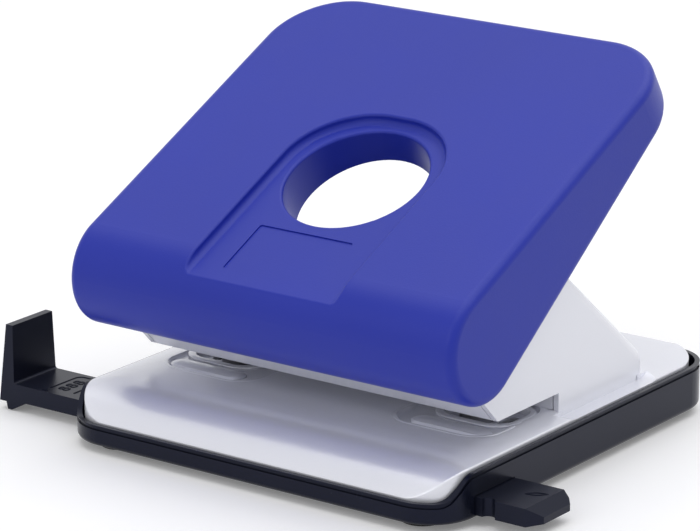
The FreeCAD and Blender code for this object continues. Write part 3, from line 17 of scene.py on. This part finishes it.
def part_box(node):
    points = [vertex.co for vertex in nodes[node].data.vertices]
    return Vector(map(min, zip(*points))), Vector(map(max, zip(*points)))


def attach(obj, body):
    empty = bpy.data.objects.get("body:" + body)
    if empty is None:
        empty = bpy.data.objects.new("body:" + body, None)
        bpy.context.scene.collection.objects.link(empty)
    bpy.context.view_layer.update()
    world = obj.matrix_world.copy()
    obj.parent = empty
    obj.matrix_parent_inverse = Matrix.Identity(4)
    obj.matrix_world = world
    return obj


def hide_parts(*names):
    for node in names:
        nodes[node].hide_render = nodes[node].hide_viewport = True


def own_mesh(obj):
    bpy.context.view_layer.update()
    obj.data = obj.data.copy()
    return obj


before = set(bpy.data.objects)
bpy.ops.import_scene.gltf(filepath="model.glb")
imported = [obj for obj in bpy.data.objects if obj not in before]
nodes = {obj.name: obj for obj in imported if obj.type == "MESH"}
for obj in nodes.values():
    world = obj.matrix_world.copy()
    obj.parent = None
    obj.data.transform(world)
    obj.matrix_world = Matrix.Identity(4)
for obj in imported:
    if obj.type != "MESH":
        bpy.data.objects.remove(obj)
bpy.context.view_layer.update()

# %% [markdown]
# ## Writing shader maths as expressions
# A procedural finish is a small formula. Wrapping each socket in a class lets the formula be written as
# Python arithmetic, and every operator adds the Math node that does it. Colours must not go through Math
# nodes, which would turn them grey, so they have their own method built on Mix.

# %% A socket that does arithmetic
class Term:
    """One output socket of a node tree, with + - * and their reflected forms."""

    def __init__(self, tree, socket):
        self.tree = tree
        self.socket = socket

    def _math(self, operation, *values, clamp=False):
        return self.tree.node("ShaderNodeMath", {"operation": operation, "use_clamp": clamp}, *values)

    def __add__(self, other):
        return self._math("ADD", self, other)

    def __radd__(self, other):
        return self._math("ADD", other, self)

    def __sub__(self, other):
        return self._math("SUBTRACT", self, other)

    def __rsub__(self, other):
        return self._math("SUBTRACT", other, self)

    def __mul__(self, other):
        return self._math("MULTIPLY", self, other)

    def __rmul__(self, other):
        return self._math("MULTIPLY", other, self)

    def clamped(self):
        """The same, held between 0 and 1."""
        return self._math("ADD", self, 0.0, clamp=True)

    def above(self, low, high):
        """0 below low, 1 above high, and a smooth step between them."""
        settings = {"interpolation_type": "SMOOTHSTEP"}
        return self.tree.node("ShaderNodeMapRange", settings, self, low, high, 0.0, 1.0)


print("operators:", [name for name in dir(Term) if name.endswith(("add__", "sub__", "mul__"))])

# %% [markdown]
# ## A tree of nodes, and a finish on top of it
# Materials and the world both hold a node tree. One small class adds a node, sets it and feeds its sockets
# with numbers or terms, so no step below has to link sockets by hand. A finish is such a tree with a
# Principled shader in it, which suits plastic, lacquer, metal and rubber alike, and with noise on object
# coordinates, so that a pattern stays fixed to its piece when the piece moves.

# %% Tree and Finish
class Tree:
    """A node tree that terms are made in."""

    def __init__(self, tree):
        self.tree = tree
        self.tree.nodes.clear()

    def node(self, kind, settings, *values, output=0, **named):
        """Adds a node: its settings first, then a value or a link for each socket, in order or by name."""
        made = self.tree.nodes.new(kind)
        for key, value in settings.items():
            setattr(made, key, value)
        for key, value in [*enumerate(values), *named.items()]:
            self.feed(made.inputs[key], value)
        return Term(self, made.outputs[output]) if made.outputs else None

    def feed(self, socket, value):
        """Links a term to the socket, or sets the socket to a plain value."""
        if isinstance(value, Term):
            self.tree.links.new(value.socket, socket)
        else:
            socket.default_value = value

    def seen_directly(self):
        """1 for camera, glossy and transmission rays, and 0 for the rays that light the object."""
        kinds = ("Is Camera Ray", "Is Glossy Ray", "Is Transmission Ray")
        camera, glossy, through = (self.node("ShaderNodeLightPath", {}, output=kind) for kind in kinds)
        return (camera + glossy + through).clamped()


class Finish(Tree):
    """A material built up from terms; its Principled shader is at .shader."""

    def __init__(self, name):
        self.material = bpy.data.materials.new(name)
        self.material.use_nodes = True
        super().__init__(self.material.node_tree)
        self.shader = self.tree.nodes.new("ShaderNodeBsdfPrincipled")
        self.node("ShaderNodeOutputMaterial", {}, Surface=Term(self, self.shader.outputs["BSDF"]))
        self.place = self.node("ShaderNodeTexCoord", {}, output="Object")

    def noise(self, scale, detail=2.0, roughness=0.5, stretch=None):
        """Fractal noise on object coordinates, about 0.5, with scale in cycles per metre."""
        place = self.place
        if stretch:
            place = self.node("ShaderNodeMapping", {}, Vector=place, Scale=stretch)
        return self.node("ShaderNodeTexNoise", {}, Vector=place, Scale=scale, Detail=detail,
                         Roughness=roughness)

    def mix(self, factor, low, high):
        """A colour between low and high. Its colour sockets share their names, so they go by number."""
        made = self.tree.nodes.new("ShaderNodeMix")
        made.data_type = "RGBA"
        self.feed(made.inputs["Factor"], factor)
        self.feed(made.inputs[6], low)
        self.feed(made.inputs[7], high)
        return Term(self, made.outputs[2])

    def bump(self, height, strength, distance):
        """Tilts the skin as a relief of height * distance, in metres, would, weakened by strength."""
        bumped = self.node("ShaderNodeBump", {}, Strength=strength, Distance=distance, Height=height,
                           output="Normal")
        self.feed(self.shader.inputs["Normal"], bumped)

    def set(self, **sockets):
        """Feeds the shader's sockets by name, with _ where the name has a space."""
        for name, value in sockets.items():
            self.feed(self.shader.inputs[name.replace("_", " ")], value)


def rgb(red, green, blue):
    return (red, green, blue, 1.0)


def wear(node_names, finish):
    """Puts one finish on CAD nodes."""
    for name in node_names:
        materials = nodes[name].data.materials
        materials.clear()
        materials.append(finish.material)


print("nodes to dress:", len(nodes))

# %% [markdown]
# ## The blue cover
# The cover is a moulded ABS shell. The tool it came out of was spark-eroded, so the skin has a very fine
# grain that softens reflections, and handling has polished it a little unevenly. An image texture could
# hold that, but noise works at every scale and needs no unwrapping. A fine noise drives the bump, and a
# broad one moves colour and roughness by a few percent, which is what keeps plastic from looking like flat
# paint.

# %% Blue moulded plastic
def blue_plastic():
    f = Finish("cover_blue_abs")
    broad = f.noise(14.0, detail=3.0)
    cloud = f.noise(55.0, detail=3.0)
    grain = f.noise(2600.0, detail=2.0, roughness=0.6)
    f.set(Base_Color=f.mix(broad, rgb(0.010, 0.023, 0.330), rgb(0.017, 0.033, 0.400)),
          Roughness=0.30 + 0.10 * broad + 0.06 * cloud + 0.05 * grain, IOR=1.5, Specular_IOR_Level=0.30)
    f.bump(grain + 0.8 * cloud, 0.16, 0.0002)
    return f


wear(["handle_cover"], blue_plastic())
print("cover:", nodes["handle_cover"].active_material.name)

# %% [markdown]
# ## Silver-grey lacquer on pressed steel
# The plate and the folded frame are sprayed with a silver lacquer: a grey binder with aluminium flakes in
# it. The flakes give a slightly metallic body, and the spray dries with a faint orange peel. A partly
# metallic Principled shader with two sizes of noise in its bump comes close, and costs far less than
# modelled flakes.

# %% Silver lacquer
def silver_lacquer(name, dark, light, metallic):
    f = Finish(name)
    broad = f.noise(22.0, detail=3.0)
    fleck = f.noise(5200.0, detail=1.0)
    peel = f.noise(420.0, detail=2.0)
    f.set(Base_Color=f.mix(0.75 * fleck + 0.25 * broad, dark, light),
          Metallic=metallic, Roughness=0.17 + 0.08 * broad + 0.06 * fleck)
    f.bump(peel + 0.4 * fleck, 0.10, 0.0003)
    return f


SILVER_DARK, SILVER_LIGHT = rgb(0.80, 0.81, 0.88), rgb(0.90, 0.91, 0.97)
plate_lacquer = silver_lacquer("plate_silver_lacquer", SILVER_DARK, SILVER_LIGHT, 0.30)
wear(["base_plate"], plate_lacquer)
wear(["punch_frame", "punch_bridge"], silver_lacquer("frame_silver_lacquer", SILVER_DARK, SILVER_LIGHT, 0.25))
print("lacquered:", plate_lacquer.material.name)

# %% [markdown]
# ## Black mouldings
# Tray and guide are black plastic with a faint blue cast. The tray is glossier than the guide, and both
# carry the fine scuffs of a thing that is pushed about a desk. The scuffs are noise stretched along one
# axis, which only moves the roughness and a very shallow bump.

# %% Gloss black
def gloss_black(name, roughness, shine=0.24):
    f = Finish(name)
    broad = f.noise(30.0, detail=4.0)
    rub = f.noise(900.0, detail=2.0, stretch=(1.0, 6.0, 1.0))
    dust = f.noise(160.0, detail=5.0, roughness=0.7).above(0.56, 0.80)
    deep, worn = rgb(0.0045, 0.0055, 0.0125), rgb(0.0100, 0.0120, 0.0220)
    f.set(Base_Color=f.mix(0.6 * broad + 0.4 * dust, deep, worn),
          Roughness=roughness + 0.08 * broad + 0.05 * rub + 0.10 * dust,
          Specular_IOR_Level=shine, Specular_Tint=rgb(0.60, 0.64, 0.95))
    f.bump(rub, 0.05, 0.0002)
    return f


wear(["base_tray"], gloss_black("tray_gloss_black", 0.16))
wear(["paper_guide"], gloss_black("guide_satin_black", 0.26))
print("black:", [nodes[name].active_material.name for name in ("base_tray", "paper_guide")])

# %% [markdown]
# ## Bare metals and rubber
# Ground pins show fine rings or lines, zinc plate is cloudy, and the punches' tool steel is a little darker.
# The dies are darker still as painted shade: they sit in the shadow under the frame, and their dark colour
# stands in for it. One metal function serves them all: a noise stretched across the grinding direction dims
# the colour and moves the roughness. Rubber is dark and matt, with a fine grain.

# %% Metals and rubber
STREAK_SHADE = 0.82


def metal(name, colour, roughness, stretch):
    f = Finish(name)
    streak = f.noise(700.0, detail=3.0, stretch=stretch)
    broad = f.noise(60.0, detail=2.0)
    dim = [STREAK_SHADE * part for part in colour]
    f.set(Base_Color=f.mix(streak, rgb(*dim), rgb(*colour)), Metallic=1.0,
          Roughness=roughness + 0.12 * streak + 0.06 * broad)
    f.bump(streak, 0.08, 0.0002)
    return f


def rubber():
    f = Finish("black_rubber")
    grain = f.noise(1800.0, detail=2.0)
    f.set(Base_Color=f.mix(grain, rgb(0.016, 0.016, 0.017), rgb(0.028, 0.028, 0.029)),
          Roughness=0.72 + 0.12 * grain)
    f.bump(grain, 0.25, 0.0003)
    return f


wear(["rubber_feet", "stop_buffer"], rubber())
wear(["pivot_axle", "press_rod", "hinge_pin", "axle_spacer_left", "axle_spacer_right"],
     metal("ground_steel", (0.62, 0.62, 0.63), 0.22, (0.1, 3.0, 3.0)))
wear(["punch_left", "punch_right", "guide_bush_left", "guide_bush_right"],
     metal("tool_steel", (0.50, 0.50, 0.52), 0.20, (3.0, 3.0, 0.1)))
# The dies' dark steel is painted shade: they sit in the shadow under the frame's lip, and their colour stands
# in for it.
wear(["die_left", "die_right"], metal("die_steel_painted_shade", (0.24, 0.24, 0.26), 0.34, (1.0, 1.0, 1.0)))
wear(["frame_rivets", "lever_yoke", "cover_screws"],
     metal("zinc_plate", (0.58, 0.60, 0.63), 0.34, (1.0, 1.0, 1.0)))
spring_steel = metal("spring_steel", (0.45, 0.45, 0.46), 0.25, (1.0, 1.0, 1.0))
wear(["return_spring_left", "return_spring_right", "axle_clip_left", "axle_clip_right", "detent_leaf"],
     spring_steel)
print("materials in the file, the solids' own ones included:", len(bpy.data.materials))

# %% [markdown]
# ## One skin for every swept shape
# Marks, beads, pads and springs all differ in outline, but each is a run of closed rings. Blender needs
# their points and the faces between them. A modifier could sweep a profile, but a grid of points given by a
# formula is exact, and numpy makes all of it at once. This helper lays four-sided faces between
# neighbouring rings and closes both ends with a cap, unless the last ring meets the first.

# %% Rings to a closed surface
def skin(rings, closed=False):
    """Points and faces of the surface through an array of rings, of shape (rings, points on a ring, 3).

    Face (i, j) joins ring i to ring i + 1 between points j and j + 1, both counted round.
    """
    rows, cols = rings.shape[:2]
    i = np.arange(rows if closed else rows - 1)[:, None]
    j = np.arange(cols)[None, :]
    i_next, j_next = (i + 1) % rows, (j + 1) % cols
    quads = np.stack([i * cols + j, i_next * cols + j, i_next * cols + j_next, i * cols + j_next], axis=-1)
    faces = quads.reshape(-1, 4).tolist()
    if not closed:
        faces.append(list(range(cols)))
        faces.append([(rows - 1) * cols + k for k in range(cols)][::-1])
    return rings.reshape(-1, 3), faces


print("a square tube of 3 rings has", len(skin(np.zeros((3, 4, 3)))[1]), "faces")

# %% [markdown]
# ## Raised marks on the paper guide
# The guide is set by marks moulded on its top: the corner of each sheet size, a pointer, and plain numbers
# for the hole patterns. Text objects could draw them, but a moulded stroke is a rounded ridge, so each
# stroke here is a low half-round profile carried along a path. One function turns a path into a ridge with
# rounded ends.

# %% A rounded ridge along a path
PROFILE_STEPS = 9
LEAST_SWELL = 0.01


def ridge(path, width, height, closed=False):
    """Points and quads of a half-round ridge along a flat path of (x, y) rows.

    Across the path the profile is a half ellipse: offset = -cos(a) * width / 2, height = sin(a) * height, for
    a from 0 to pi. Within half a width of either end both shrink as sqrt(1 - u^2), with u running from 0 to 1
    at the end itself, which rounds it. LEAST_SWELL keeps the end cap from closing up.
    """
    path = np.asarray(path, float)
    ahead = np.roll(path, -1, axis=0) - np.roll(path, 1, axis=0)
    if not closed:
        ahead[0] = path[1] - path[0]
        ahead[-1] = path[-1] - path[-2]
    ahead /= np.linalg.norm(ahead, axis=1)[:, None]
    side = np.stack([ahead[:, 1], -ahead[:, 0]], axis=1)
    run = np.concatenate([[0.0], np.cumsum(np.linalg.norm(np.diff(path, axis=0), axis=1))])
    to_end = np.minimum(run, run[-1] - run) / (width / 2)
    swell = np.sqrt(np.clip(1 - np.clip(1 - to_end, 0, 1) ** 2, LEAST_SWELL ** 2, 1))
    if closed:
        swell = np.ones(len(path))
    a = np.linspace(0.0, math.pi, PROFILE_STEPS)
    offset = -np.cos(a) * width / 2
    flat = path[:, None, :] + side[:, None, :] * (offset[None, :] * swell[:, None])[:, :, None]
    rise = np.sin(a)[None, :] * height * swell[:, None]
    sunk = np.full_like(rise[:, :1], -height)
    top = np.concatenate([flat, rise[:, :, None]], axis=2)
    feet_right = np.concatenate([flat[:, -1:], sunk[:, :, None]], axis=2)
    feet_left = np.concatenate([flat[:, :1], sunk[:, :, None]], axis=2)
    return skin(np.concatenate([top, feet_right, feet_left], axis=1), closed)


print("a bead 10 mm long has", len(ridge(np.linspace([0, 0], [0.01, 0], 20), 0.001, 0.0002)[1]), "faces")

# %% [markdown]
# ## From strokes to a piece
# Every mark is a list of paths in the plane of the face that it stands on. The ridges are joined into one
# mesh at that face's height, so the whole set is one piece that slides with the guide.

# %% Joining surfaces into a piece
def recalculate(mesh):
    """Turns every face of the mesh outwards."""
    work = bmesh.new()
    work.from_mesh(mesh)
    bmesh.ops.recalc_face_normals(work, faces=work.faces)
    work.to_mesh(mesh)
    work.free()


def make_piece(name, parts, material, body):
    """One mesh object from several (points, faces) surfaces, in metres in the frame, riding on a body."""
    points, faces, start = [], [], 0
    for part_points, part_faces in parts:
        points.append(part_points)
        faces += [[start + k for k in face] for face in part_faces]
        start += len(part_points)
    mesh = bpy.data.meshes.new(name)
    mesh.from_pydata(np.concatenate(points).tolist(), [], faces)
    mesh.shade_smooth()
    mesh.materials.append(material)
    piece = bpy.data.objects.new(name, mesh)
    bpy.context.scene.collection.objects.link(piece)
    recalculate(mesh)
    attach(piece, body)
    print(name, len(mesh.polygons), "faces")
    return piece


def at_place(surface, origin):
    """The surface moved so that its own origin lies at this point of the frame."""
    points, faces = surface
    return points + np.array(origin), faces


# %% [markdown]
# ## Paths for the strokes
# Figures and sheet corners need only three plain paths: an ellipse, a corner with a rounded bend, and a
# leaf. A font would bring its own maker's shapes; these come from formulas that can be read and changed.

# %% Ellipse, corner and leaf
def ellipse(centre, rx, ry, count=28):
    """A closed path: centre + (rx * cos t, ry * sin t)."""
    t = np.linspace(0.0, 2 * math.pi, count, endpoint=False)
    return np.stack([centre[0] + rx * np.cos(t), centre[1] + ry * np.sin(t)], axis=1)


def sheet_corner(x, y0, y1, x1, radius):
    """A line up at x from y0, a quarter round of this radius, and a line across at y1 to x1."""
    t = np.linspace(math.pi, math.pi / 2, 10)
    bend = np.stack([x + radius + radius * np.cos(t), y1 - radius + radius * np.sin(t)], axis=1)
    up = np.linspace([x, y0], [x, y1 - radius], 24, endpoint=False)
    across = np.linspace([x + radius, y1], [x1, y1], 12)[1:]
    return np.concatenate([up, bend, across])


def leaf(a, b, belly):
    """A closed path from a to b and back: each half is the chord plus sin(pi * u) * belly to one side."""
    a, b = np.array(a), np.array(b)
    u = np.linspace(0.0, 1.0, 16, endpoint=False)[:, None]
    across = np.array([a[1] - b[1], b[0] - a[0]]) / np.linalg.norm(b - a)
    there = a + (b - a) * u + across * belly * np.sin(math.pi * u)
    back = b + (a - b) * u - across * belly * np.sin(math.pi * u)
    return np.concatenate([there, back])


print("an ellipse has", len(ellipse((0, 0), 1, 1)), "points")

# %% [markdown]
# ## The marks themselves
# The rail's top is level, so a mark needs only its x and y, in millimetres from the rail's front edge and
# the middle of the base, and one height. Figures stand across the rail, so an eight is two ellipses side by
# side along x.

# %% Guide marks
RAIL_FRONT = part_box("paper_guide")[0][1]
RAIL_TOP = 0.008
MM = 0.001
STROKE_WIDTH, STROKE_HEIGHT = 0.00068, 0.00016
LEFT_COLUMN, RIGHT_COLUMN = -77.5, -69.4
FIGURE_ROWS = (5.2, 8.4, 11.6)
SHEET_CORNERS = ((-81.0, -74.2), (-72.6, -66.6))
CORNER_FOOT, CORNER_TOP, CORNER_BEND = 3.2, 16.0, 2.0
POINTER = np.array([[-81.9, 1.0], [-80.1, 1.0], [-81.0, 2.4]])


def on_rail(path):
    """Millimetres across the base and back from the rail's front edge, as metres in the frame."""
    return np.asarray(path, float) * MM + np.array([0.0, RAIL_FRONT])


def eight(x, y):
    """The smaller and the larger loop of an 8 that lies on its side."""
    return [ellipse((x - 0.78, y), 0.72, 0.85), ellipse((x + 0.82, y), 0.80, 1.0)]


def zero(x, y):
    """The one loop of a 0 that lies on its side."""
    return [ellipse((x, y), 1.55, 0.98)]


def stroke(path, closed):
    """A ridge on the rail's top along a path in millimetres."""
    return at_place(ridge(on_rail(path), STROKE_WIDTH, STROKE_HEIGHT, closed), (0, 0, RAIL_TOP))


mark_black = gloss_black("mark_dull_black", 0.45, shine=0.05)
closed_marks = [loop for y in FIGURE_ROWS for loop in eight(LEFT_COLUMN, y)]
closed_marks += eight(RIGHT_COLUMN, FIGURE_ROWS[0]) + zero(RIGHT_COLUMN, FIGURE_ROWS[1])
sides = [np.linspace(POINTER[k - 1], POINTER[k], 8, endpoint=False) for k in (1, 2, 0)]
closed_marks.append(np.concatenate(sides))
open_marks = [sheet_corner(x, CORNER_FOOT, CORNER_TOP, x1, CORNER_BEND) for x, x1 in SHEET_CORNERS]
strokes = [stroke(path, True) for path in closed_marks] + [stroke(path, False) for path in open_marks]
make_piece("guide_scale_marks", strokes, mark_black.material, "paper_guide")

# %% [markdown]
# ## The thumb mark on the guide's right end
# The end that is pushed has a small leaf-shaped rib, so that a thumb finds it. It is two shallow arcs that
# meet in points, drawn with the same ridge.

# %% Thumb mark
thumb_leaf = leaf((73.2, 9.4), (78.0, 12.4), belly=0.9)
make_piece("guide_thumb_mark", [stroke(thumb_leaf, True)], mark_black.material, "paper_guide")

# %% [markdown]
# ## Soft forms pressed into the plate
# Round each die the plate is pressed into a shallow pocket. A press tool can't make sharp steps in sheet,
# so the pad in front of the die is a low crown, and the rims of the pocket and of the well are soft beads.
# The crown is a surface between the outline of a stadium and its spine, and the beads are the same ridge as
# above, carried along the near half of a round-cornered rectangle. They lie on the pressed steps and wear
# its lacquer.

# %% Crowned pad
PLATE_TOP = 0.0167
POCKET_FLOOR = 0.0158
FRONT_EDGE = -0.067
PUNCH_X = 0.040
CROWN_REACH = 0.97


def crown(x0, x1, y0, y1, height, around=72, across=14):
    """A low closed dome on a stadium from corner to corner, in millimetres.

    At share v of the way in from the outline to the spine, the height is height * sqrt(1 - (1 - v)^2). The
    last ring stays at CROWN_REACH of that way, so that its points don't fall together.
    """
    radius = (y1 - y0) / 2
    t = np.linspace(0.0, 2 * math.pi, around, endpoint=False)
    spine_x = np.where(np.cos(t) >= 0, x1 - radius, x0 + radius)
    spine = np.stack([spine_x, np.full(around, y0 + radius)], axis=1)
    outline = spine + radius * np.stack([np.cos(t), np.sin(t)], axis=1)
    v = np.linspace(0.0, CROWN_REACH, across)[:, None]
    flat = outline[None] + (spine - outline)[None] * v[:, :, None]
    rise = np.repeat(height * np.sqrt(1 - (1 - v) ** 2), around, axis=1)
    return skin(np.concatenate([flat, rise[:, :, None]], axis=2) * MM)


print("a pad has", len(crown(0.0, 20.0, 0.0, 7.0, 1.0)[1]), "faces")

# %% [markdown]
# ## Beads on the pockets' rims
# Where the sheet turns down into the pocket and up again round the well, the tool leaves a rounded edge. A
# bevel of the solid would do it, but the solid is fixed here, so a flat bead lies along each rim. Only the
# near side gets one: further back the frame stands over the rim. The right half is drawn, and the left half
# is its mirror image.

# %% Beads round pocket and well
def near_rim(x0, x1, y0, y1, radius):
    """The front of a round-cornered rectangle: down the left side, along the front, up the right."""
    t = np.linspace(0.0, math.pi / 2, 12)
    left = np.stack([x0 + radius - radius * np.cos(t), y0 + radius - radius * np.sin(t)], axis=1)
    right = np.stack([x1 - radius + radius * np.sin(t), y0 + radius - radius * np.cos(t)], axis=1)
    down = np.linspace([x0, y1], [x0, y0 + radius], 8, endpoint=False)
    along = np.linspace([x0 + radius, y0], [x1 - radius, y0], 30)[1:-1]
    up = np.linspace([x1, y0 + radius], [x1, y1], 9)[1:]
    return np.concatenate([down, left, along, right, up])


RIM_WIDTH, RIM_HEIGHT = 0.0011, 0.00010
WELL_WIDTH, WELL_HEIGHT, WELL_SINK = 0.0023, 0.00030, 0.00020
PAD_INNER, PAD_OUTER = -11.9, 13.2
PAD_FRONT, PAD_REAR, PAD_RISE = 33.4, 40.4, 1.05
pocket = near_rim(x0=-17.3, x1=14.8, y0=30.7, y1=46.0, radius=8.3) * MM
well = near_rim(x0=-10.0, x1=13.8, y0=42.0, y1=50.0, radius=7.0) * MM
for side, name in ((-1.0, "left"), (1.0, "right")):
    turned = np.array([side, 1.0])
    x = side * PUNCH_X
    pad = crown(*sorted((side * PAD_INNER, side * PAD_OUTER)), PAD_FRONT, PAD_REAR, PAD_RISE)
    forms = [at_place(pad, (x, FRONT_EDGE, POCKET_FLOOR)),
             at_place(ridge(pocket * turned, RIM_WIDTH, RIM_HEIGHT), (x, FRONT_EDGE, PLATE_TOP)),
             at_place(ridge(well * turned, WELL_WIDTH, WELL_HEIGHT), (x, FRONT_EDGE, PLATE_TOP - WELL_SINK))]
    make_piece("pocket_forms_" + name, forms, plate_lacquer.material, "works")

# %% [markdown]
# ## Return springs as coils
# A solid of the frame keeps its shape at every pose, but a spring under a punch head has to give way as the
# punch goes down. So each spring is drawn here as a coil, stands for the solid, and gets a mesh of its own.

# %% Coils
SPRING_WIRE = 0.001
SPRING_TURNS = 6.5


def coil(low, high, wire, turns, along=240, around=14):
    """A round wire wound right-handed in the box from low to high.

    The wire's middle is centre + (R cos t, R sin t, rise * t). A point of its skin lies wire / 2 from it, at
    an angle a that is measured from the outward direction (cos t, sin t, 0) towards the axis z.
    """
    low, high = np.array(low), np.array(high)
    centre = (low + high) / 2
    radius = (high[0] - low[0] - wire) / 2
    t = np.linspace(0.0, 2 * math.pi * turns, along)[:, None]
    a = np.linspace(0.0, 2 * math.pi, around, endpoint=False)[None, :]
    out = radius + wire / 2 * np.cos(a)
    z = low[2] + wire / 2 + (high[2] - low[2] - wire) * t / t[-1] + wire / 2 * np.sin(a)
    return skin(np.stack([centre[0] + out * np.cos(t), centre[1] + out * np.sin(t), z], axis=-1))


for side in ("left", "right"):
    low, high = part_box("return_spring_" + side)
    wound = make_piece("return_coil_" + side, [coil(low, high, SPRING_WIRE, SPRING_TURNS)],
                       spring_steel.material, "works")
    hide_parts("return_spring_" + side)
    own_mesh(wound)

# %% [markdown]
# ## Floor, background and light
# A product picture of this kind is taken in a white cove under a large soft lamp. The floor is a plain
# plane. What the camera and reflections see of it and of the world is white by its own colour, not by more
# light: Light Path tells those rays from the ones that carry light onto the object.

# %% Floor
FLOOR_LIFT = 0.16
FLOOR_REACH = 6.0


def white_floor():
    corners = FLOOR_REACH * np.array([[-1, -1, 0], [1, -1, 0], [1, 1, 0], [-1, 1, 0]])
    mesh = bpy.data.meshes.new("floor")
    mesh.from_pydata(corners.tolist(), [], [(0, 1, 2, 3)])
    floor = bpy.data.objects.new("floor", mesh)
    bpy.context.scene.collection.objects.link(floor)
    f = Finish("white_floor")
    lift = f.seen_directly()
    f.set(Base_Color=rgb(0.90, 0.90, 0.91), Roughness=0.6, Specular_IOR_Level=0.2,
          Emission_Strength=FLOOR_LIFT, Emission_Color=f.mix(lift, rgb(0.0, 0.0, 0.0), rgb(1.0, 1.0, 1.0)))
    mesh.materials.append(f.material)


white_floor()
print("floor lift:", FLOOR_LIFT)

# %% [markdown]
# ## The light all round
# The world is the cove's even light. The object gets less of it than the eye sees: the background is mixed
# from two plain white shaders, one for rays that light the object and one for those that are looked along.

# %% World
def studio_world(strength):
    world = bpy.data.worlds.new("studio")
    bpy.context.scene.world = world
    world.use_nodes = True
    tree = Tree(world.node_tree)
    white = rgb(1.0, 1.0, 1.0)
    lighting = tree.node("ShaderNodeBackground", {}, Color=white, Strength=strength)
    shown = tree.node("ShaderNodeBackground", {}, Color=white, Strength=1.0)
    both = tree.node("ShaderNodeMixShader", {}, tree.seen_directly(), lighting, shown)
    tree.node("ShaderNodeOutputWorld", {}, Surface=both)


WORLD_STRENGTH = 0.45
studio_world(WORLD_STRENGTH)
print("world strength:", WORLD_STRENGTH)

# %% [markdown]
# ## Two soft lamps
# A large lamp overhead, a little behind and to the right, lights the cover's top and leaves its nose
# darker. A small one in front keeps the nose and the plate's front edge from going flat. Area lamps are
# used because a point lamp or a sun would draw hard shadows, which a cove doesn't have.

# %% Lamps
def soft_lamp(name, place, target, size, power):
    """A square area lamp at place, facing target."""
    data = bpy.data.lights.new(name, "AREA")
    data.size = size
    data.energy = power
    lamp = bpy.data.objects.new(name, data)
    bpy.context.scene.collection.objects.link(lamp)
    away = Vector(place) - Vector(target)
    lamp.location = place
    lamp.rotation_euler = away.to_track_quat("Z", "Y").to_euler()


MIDDLE = (0.0, 0.0, 0.04)
soft_lamp("overhead", (0.15, 0.25, 1.6), MIDDLE, size=2.2, power=21.0)
soft_lamp("front_fill", (-0.3, -1.5, 0.9), MIDDLE, size=1.0, power=3.5)
print("lamps:", [lamp.name for lamp in bpy.data.lights])

# %% [markdown]
# ## Camera
# The lens is long and the camera is about a metre away, a tenth of a turn round to the right and a little
# above the desk. Its three unit vectors follow from those two angles, which are easier to read than a
# rotation.

# %% Place the camera
def place_camera(azimuth, elevation, target, distance, lens):
    """The camera looks at target from a distance; azimuth and elevation are in degrees."""
    az, el = math.radians(azimuth), math.radians(elevation)
    back = Vector((math.sin(az) * math.cos(el), -math.cos(az) * math.cos(el), math.sin(el)))
    right = Vector((math.cos(az), math.sin(az), 0.0))
    up = back.cross(right)
    data = bpy.data.cameras.new("camera")
    data.lens = lens
    data.sensor_width = 36.0
    camera = bpy.data.objects.new("camera", data)
    bpy.context.scene.collection.objects.link(camera)
    turn = Matrix((right, up, back)).transposed()
    camera.matrix_world = Matrix.Translation(Vector(target) + back * distance) @ turn.to_4x4()
    bpy.context.scene.camera = camera


place_camera(azimuth=36.076, elevation=16.65, target=(0.012861, -0.037287, 0.056979),
             distance=1.02765, lens=201.15)
bpy.context.scene.view_settings.view_transform = "Standard"
print("camera at", tuple(round(c, 3) for c in bpy.context.scene.camera.matrix_world.translation))

# %% [markdown]
# ## Sizes
# The dressed object should be no larger than the solids that it dresses.
